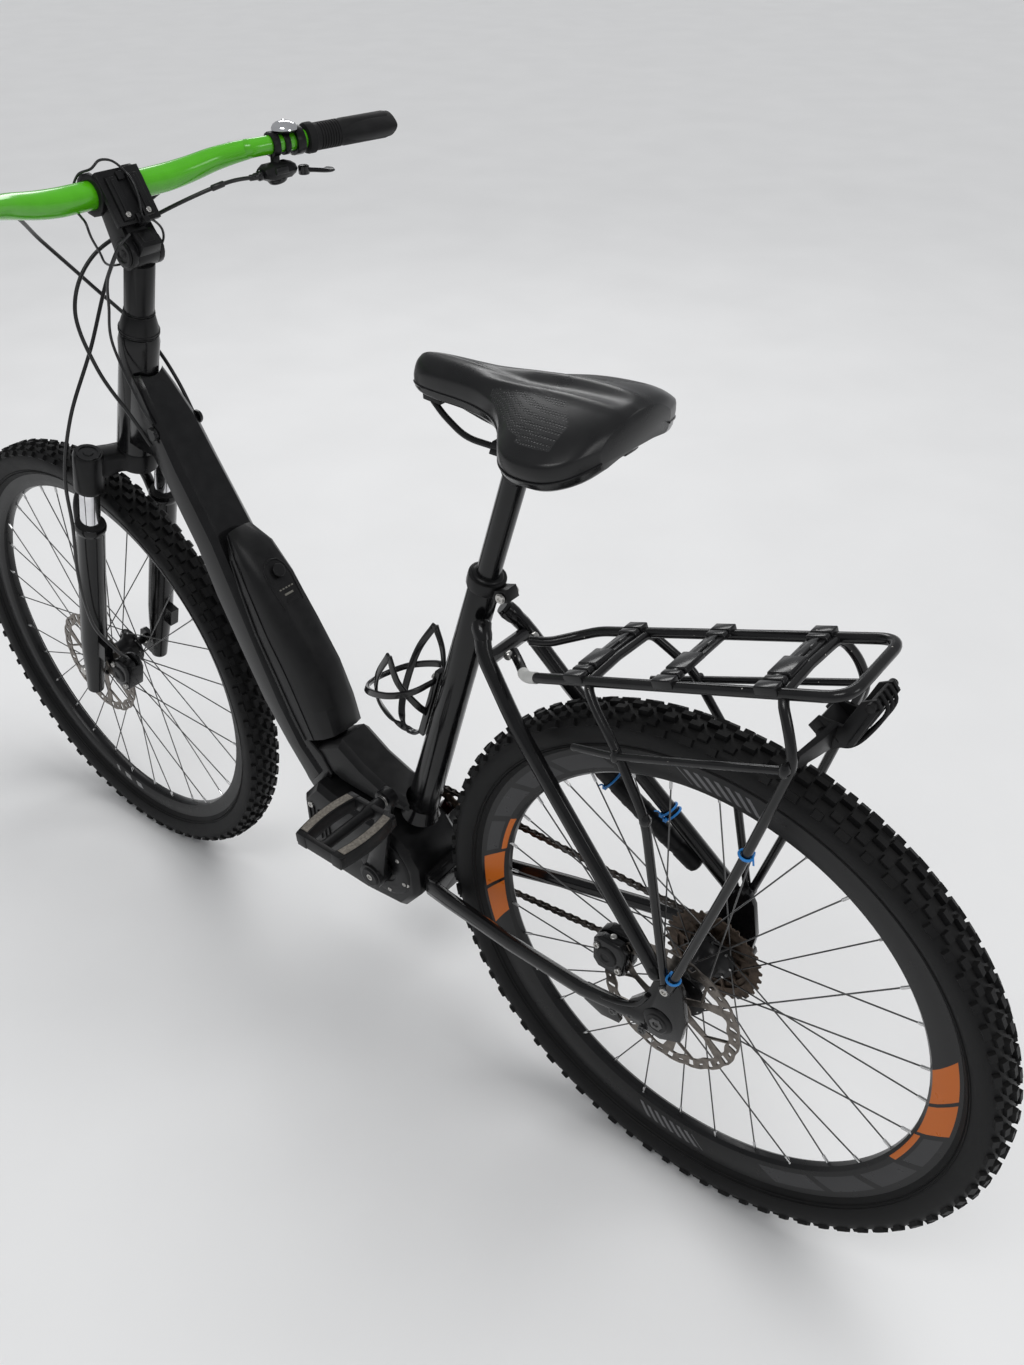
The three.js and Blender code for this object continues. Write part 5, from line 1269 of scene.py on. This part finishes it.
# Left end plate: stay lug, axle boss with its socket, and the bolts of the caliper's adapter
dropout = Shape()
axle_at = vec(-556, 84, 366)
dropout.turned(axle_at, axle_at + vec(0, 5, 0),
               [[19, 0], [19, 0.3], [16.5, 0.62], [14, 0.7], [13, 1], [8, 1], [7.4, 0.6], [1, 0.6]], 36)
dropout.turned(axle_at + vec(0, 3, 0), axle_at + vec(0, 6.2, 0),
               [[9, 0], [9, 0.8], [7.8, 1], [4.4, 1], [4, 0.2]], 6, 1)
ridge = [(-541, 86, 402), (-529, 86, 378), (-506, 85.5, 362), (-480, 84.5, 352)]
dropout.tube(smooth_path(ridge, 6), [3.2] * (len(ridge) * 6 - 5), 10)
for x, z in ((-520, 350), (-496, 338), (-536, 334)):
    dropout.turned((x, 84, z), (x, 87.6, z),
                   [[6, 0], [6, 0.3], [4.6, 0.35], [4.4, 0.9], [3.6, 1], [2, 1], [1.8, 0.5]], 18, 1)
piece("left_dropout_details", dropout, [ANODISED, DARK_STEEL], "frame", bevel=0.5, angle=40)

shroud = Shape()
shroud.rings([[vec(x + 0.93 * a, y * (half - 5), z - 0.37 * a)
               for a, y in ((-3, -1), (-3, 1), (7, 1), (7, -1))] for (x, z), half in zip(seat_line, halves)])
gusset = [(92, 485), (118, 468), (98, 424), (66, 366), (52, 350), (20, 388), (14, 400), (30, 428), (48, 440)]
shroud.plate(gusset, (-33, 33))
shroud.box((-163, 4, 301), (24, 74, 28), None, 0.9)
piece("down_tube_gusset", shroud, FRAME_BLACK, "frame", bevel=2.0, angle=40)

clamp = Shape()
clamp.turned(on_seat_tube(501), on_seat_tube(516.4),
             [[18, 0], [21.6, 0.06], [21.9, 0.2], [21.9, 0.8], [21.6, 0.94], [15, 1]], 44)
clamp.turned(on_seat_tube(516.4), on_seat_tube(519), [[18, 0], [17, 0.6], [14.6, 1]], 40)
ears = on_seat_tube(508, -27)
clamp.turned(ears + vec(-3, -13, 0), ears + vec(-3, 13, 0),
             [[6, 0], [6, 0.06], [3.6, 0.07], [3.6, 0.93], [6, 0.94], [6, 1]], 20, 1)
clamp.turned(ears + vec(-3, 12.9, 0), ears + vec(-3, 14.4, 0),
             [[5.6, 0], [5, 1], [2.4, 1], [2.4, 0.3]], 16, 1)
piece("seat_clamp_ring_and_bolt", clamp, [ANODISED, STEEL], "frame", angle=40)

post = Shape()
post.turned(on_seat_tube(505), on_seat_tube(652), [[13.7, 0], [13.7, 1]], 40)
post.turned(vec(-304, -17, 945), vec(-304, 17, 945), [[14, 0], [16.2, 0.06], [16.2, 0.94], [14, 1]], 36)
for sign in (1, -1):
    post.turned(vec(-304, sign * 16.5, 945), vec(-304, sign * 20, 945),
                [[6.5, 0], [6.5, 0.7], [5.4, 1], [3, 1], [3, 0.3]], 20)
piece("post_tube_and_head", post, FRAME_BLACK, "seat", angle=40)

# Motor: side cover and its screws, cooling ribs and the dark red liner
motor = Shape()
motor.turned((-99, 55.6, 312), (-99, 59, 312), [[48, 0], [47, 0.5], [43, 1], [25, 1], [24, 0.2]], 56)
motor.turned((-99, -42, 312), (-99, -43.4, 312), [[46, 0], [45, 1], [26, 1]], 56)
for t in turns(6, 0.3):
    at = vec(-99 + 40 * math.cos(t), 57.6, 312 + 40 * math.sin(t))
    motor.turned(at, at + vec(0, 2.6, 0), [[3.4, 0], [3.2, 0.7], [2.6, 1], [1.3, 1], [1.3, 0.5]], 12, 1)
for x, z in ((40, 348), (38, 272), (-8, 372), (-140, 300)):
    for y, out in ((56, 2.2), (-42, -2.2)):
        motor.turned((x, y - out * 0.5, z), (x, y + out, z),
                     [[5.2, 0], [5, 0.8], [4, 1], [2, 1], [2, 0.5]], 16, 1)
for k in range(5):
    x = 44 - k * 9
    motor.box((x, 56.6, 318), (3, 2.6, 62 - k * 4), None, 0.8)
motor.plate(((58.5, 350), (59.5, 304), (54, 272), (52, 274), (50, 350)), (-26, 26), 2)
motor.turned((-99, -43.6, 312), (-99, -45.2, 312), [[40, 0], [39, 1], [27, 1]], 48, 2)
piece("motor_side_details", motor, [PLASTIC, STEEL, RED_TINT], "frame", bevel=0.5, angle=40)

# Calipers and levers
for at, body, name in ((on_steering(-36, 0, 58), "fork_lowers", "front"),
                       (vec(-478, 0, 408), "frame", "rear")):
    inner, outer = (28, 61) if name == "front" else (40, 73)
    trim = Shape()
    turn = steer_turn if name == "front" else Matrix.Identity(3)
    lay = lambda a, y, b: at + turn @ vec(a, 0, b) + vec(0, y, 0)
    trim.turned(lay(2, outer - 1, 0), lay(2, outer + 3, 0),
                [[14, 0], [14, 0.4], [12.6, 0.8], [6, 1], [5.6, 0.7], [2, 0.7]], 30)
    for a, b in ((-15, -12), (15, 12)):
        trim.turned(lay(a, outer - 1, b), lay(a, outer + 3.4, b),
                    [[4.4, 0], [4.4, 0.7], [3.6, 1], [1.9, 1], [1.9, 0.4]], 14, 1)
    trim.turned(lay(0, (inner + outer) / 2 + 6, 18), lay(0, (inner + outer) / 2 + 6, 27),
                [[5.4, 0], [5.4, 0.5], [4.2, 0.55], [4.2, 0.9], [3.2, 1]], 16, 1)
    piece(f"{name}_caliper_details", trim, [PLASTIC, STEEL], body, bevel=0.5, angle=40)

for sign, name in ((1, "left"), (-1, "right")):
    pivot = joint_at(f"brake_lever_{name}")
    blade = Shape()
    line = [(5, -3, 7.5, 4.8), (10, 12, 7, 4.8), (14, 27, 5.6, 4.8), (17, 44, 5, 5), (18, 62, 5, 5.2),
            (15.5, 80, 5.2, 5.2), (12.5, 97, 5.6, 5.2), (12.6, 110, 6.2, 5.2), (15.4, 120, 6.4, 5)]
    rings = []
    for forward_by, out, half, tall in blended(line, 5):
        rings.append([pivot + vec(forward_by + half * boxy(math.cos(t), 0.7), sign * out,
                                  tall * boxy(math.sin(t), 0.7)) for t in turns(20)])
    blade.rings(rings)
    piece(f"brake_blade_{name}", blade, ANODISED, f"brake_lever_{name}", f"brake_lever_{name}", angle=45)
    barrel = Shape()
    barrel.turned(pivot + vec(3.6, sign * 24, 1.6), pivot + vec(10.3, sign * -46, 6.3),
                  [[5, 0], [8.6, 0.02], [9.6, 0.06], [9.6, 0.3], [8.8, 0.34], [8.8, 0.78], [9.6, 0.8],
                   [9.6, 0.9], [7, 0.93], [7, 0.99], [4, 1]], 30)
    barrel.box(pivot + vec(6, sign * 2, 9.6), (15, 26, 3.4), Matrix.Rotation(sign * 0.1, 3, "Z"), 0.85)
    piece(f"brake_barrel_{name}", barrel, ANODISED, "steering", bevel=0.6, angle=45)

paddle = Shape()
thumb = vec(233.2, -240, 1114.2)
paddle.turned(thumb + vec(0, 0, -6.4), thumb + vec(0, 0, 4.6),
              [[6.4, 0], [7.2, 0.08], [7.2, 0.9], [5.6, 1]], 26)
arm = [(0, 0, -1, 5.4, 3.4), (-6, -9, -2, 5, 3), (-11, -18, -3.4, 6.6, 3), (-13, -25, -4.6, 9, 2.8),
       (-12, -31, -5, 9.4, 2.6), (-9, -36, -4.6, 7, 2.4)]
rings = []
for x, y, z, wide, tall in blended(arm, 5):
    rings.append([thumb + vec(x + wide * math.cos(t), y + 0.3 * wide * math.cos(t), z + tall * math.sin(t))
                  for t in turns(18)])
paddle.rings(rings)
piece("thumb_paddle", paddle, GLOSS_PLASTIC, "shift_lever", "shift_lever", angle=50)

# ---------------------------------------------------------------- camera, light and floor
CAMERA_AT = vec(-0.948, 0.8195, 1.4382)
CAMERA_LENS = 30.18
camera = bpy.data.objects.new("camera", bpy.data.cameras.new("camera"))
scene.collection.objects.link(camera)
scene.camera = camera
azimuth, elevation, roll = math.radians(218.95), math.radians(36.03), math.radians(-1.11)
back = vec(math.sin(azimuth) * math.cos(elevation), -math.cos(azimuth) * math.cos(elevation),
           math.sin(elevation))
right = (-back).cross(vec(0, 0, 1)).normalized()
up = right.cross(-back)
right_rolled = right * math.cos(roll) + up * math.sin(roll)
up_rolled = up * math.cos(roll) - right * math.sin(roll)
turn = Matrix((right_rolled, up_rolled, back)).transposed()
camera.matrix_world = Matrix.Translation(CAMERA_AT) @ turn.to_4x4()
camera.data.sensor_width = 36
camera.data.lens = CAMERA_LENS
camera.data.clip_end = 200

floor_mesh = bpy.data.meshes.new("floor")
half = 60  # metres, so that no edge shows
floor_mesh.from_pydata([(-half, -half, 0), (half, -half, 0), (half, half, 0), (-half, half, 0)], [],
                       [(0, 1, 2, 3)])
PALE = surface("pale_floor", (0.8, 0.8, 0.8), 0.55, vary=0.015, scale=3, grain=300, bump=0.01)
floor_mesh.materials.append(PALE)
floor = bpy.data.objects.new("floor", floor_mesh)
scene.collection.objects.link(floor)

world = bpy.data.worlds.new("studio")
scene.world = world
world.use_nodes = True
world.node_tree.nodes["Background"].inputs["Color"].default_value = (0.95, 0.97, 1.0, 1)
world.node_tree.nodes["Background"].inputs["Strength"].default_value = 0.34
scene.view_settings.view_transform = "Standard"

sun = bpy.data.lights.new("ceiling", "SUN")
sun.energy = 1.62
sun.angle = math.radians(50)
ceiling = bpy.data.objects.new("ceiling", sun)
scene.collection.objects.link(ceiling)
ceiling.rotation_euler = (math.radians(14), math.radians(-16), 0)
ceiling.visible_glossy = False


def softbox(name, place, target, size, power):
    """A rectangular lamp aimed at a target, for soft highlights."""
    light = bpy.data.lights.new(name, "AREA")
    light.shape = "RECTANGLE"
    light.size, light.size_y = size
    light.energy = power
    obj = bpy.data.objects.new(name, light)
    scene.collection.objects.link(obj)
    obj.location = place
    obj.rotation_mode = "QUATERNION"
    obj.rotation_quaternion = (Vector(target) - Vector(place)).to_track_quat("-Z", "Y")


softbox("key", (-0.6, 1.6, 3.2), (0, 0, 0.6), (1.5, 0.7), 18)
softbox("fill", (-3.2, -0.4, 2.2), (0, 0, 0.5), (1.0, 0.8), 8)
softbox("rim_light", (2.0, -2.4, 2.6), (0, 0, 0.6), (1.8, 0.7), 18)
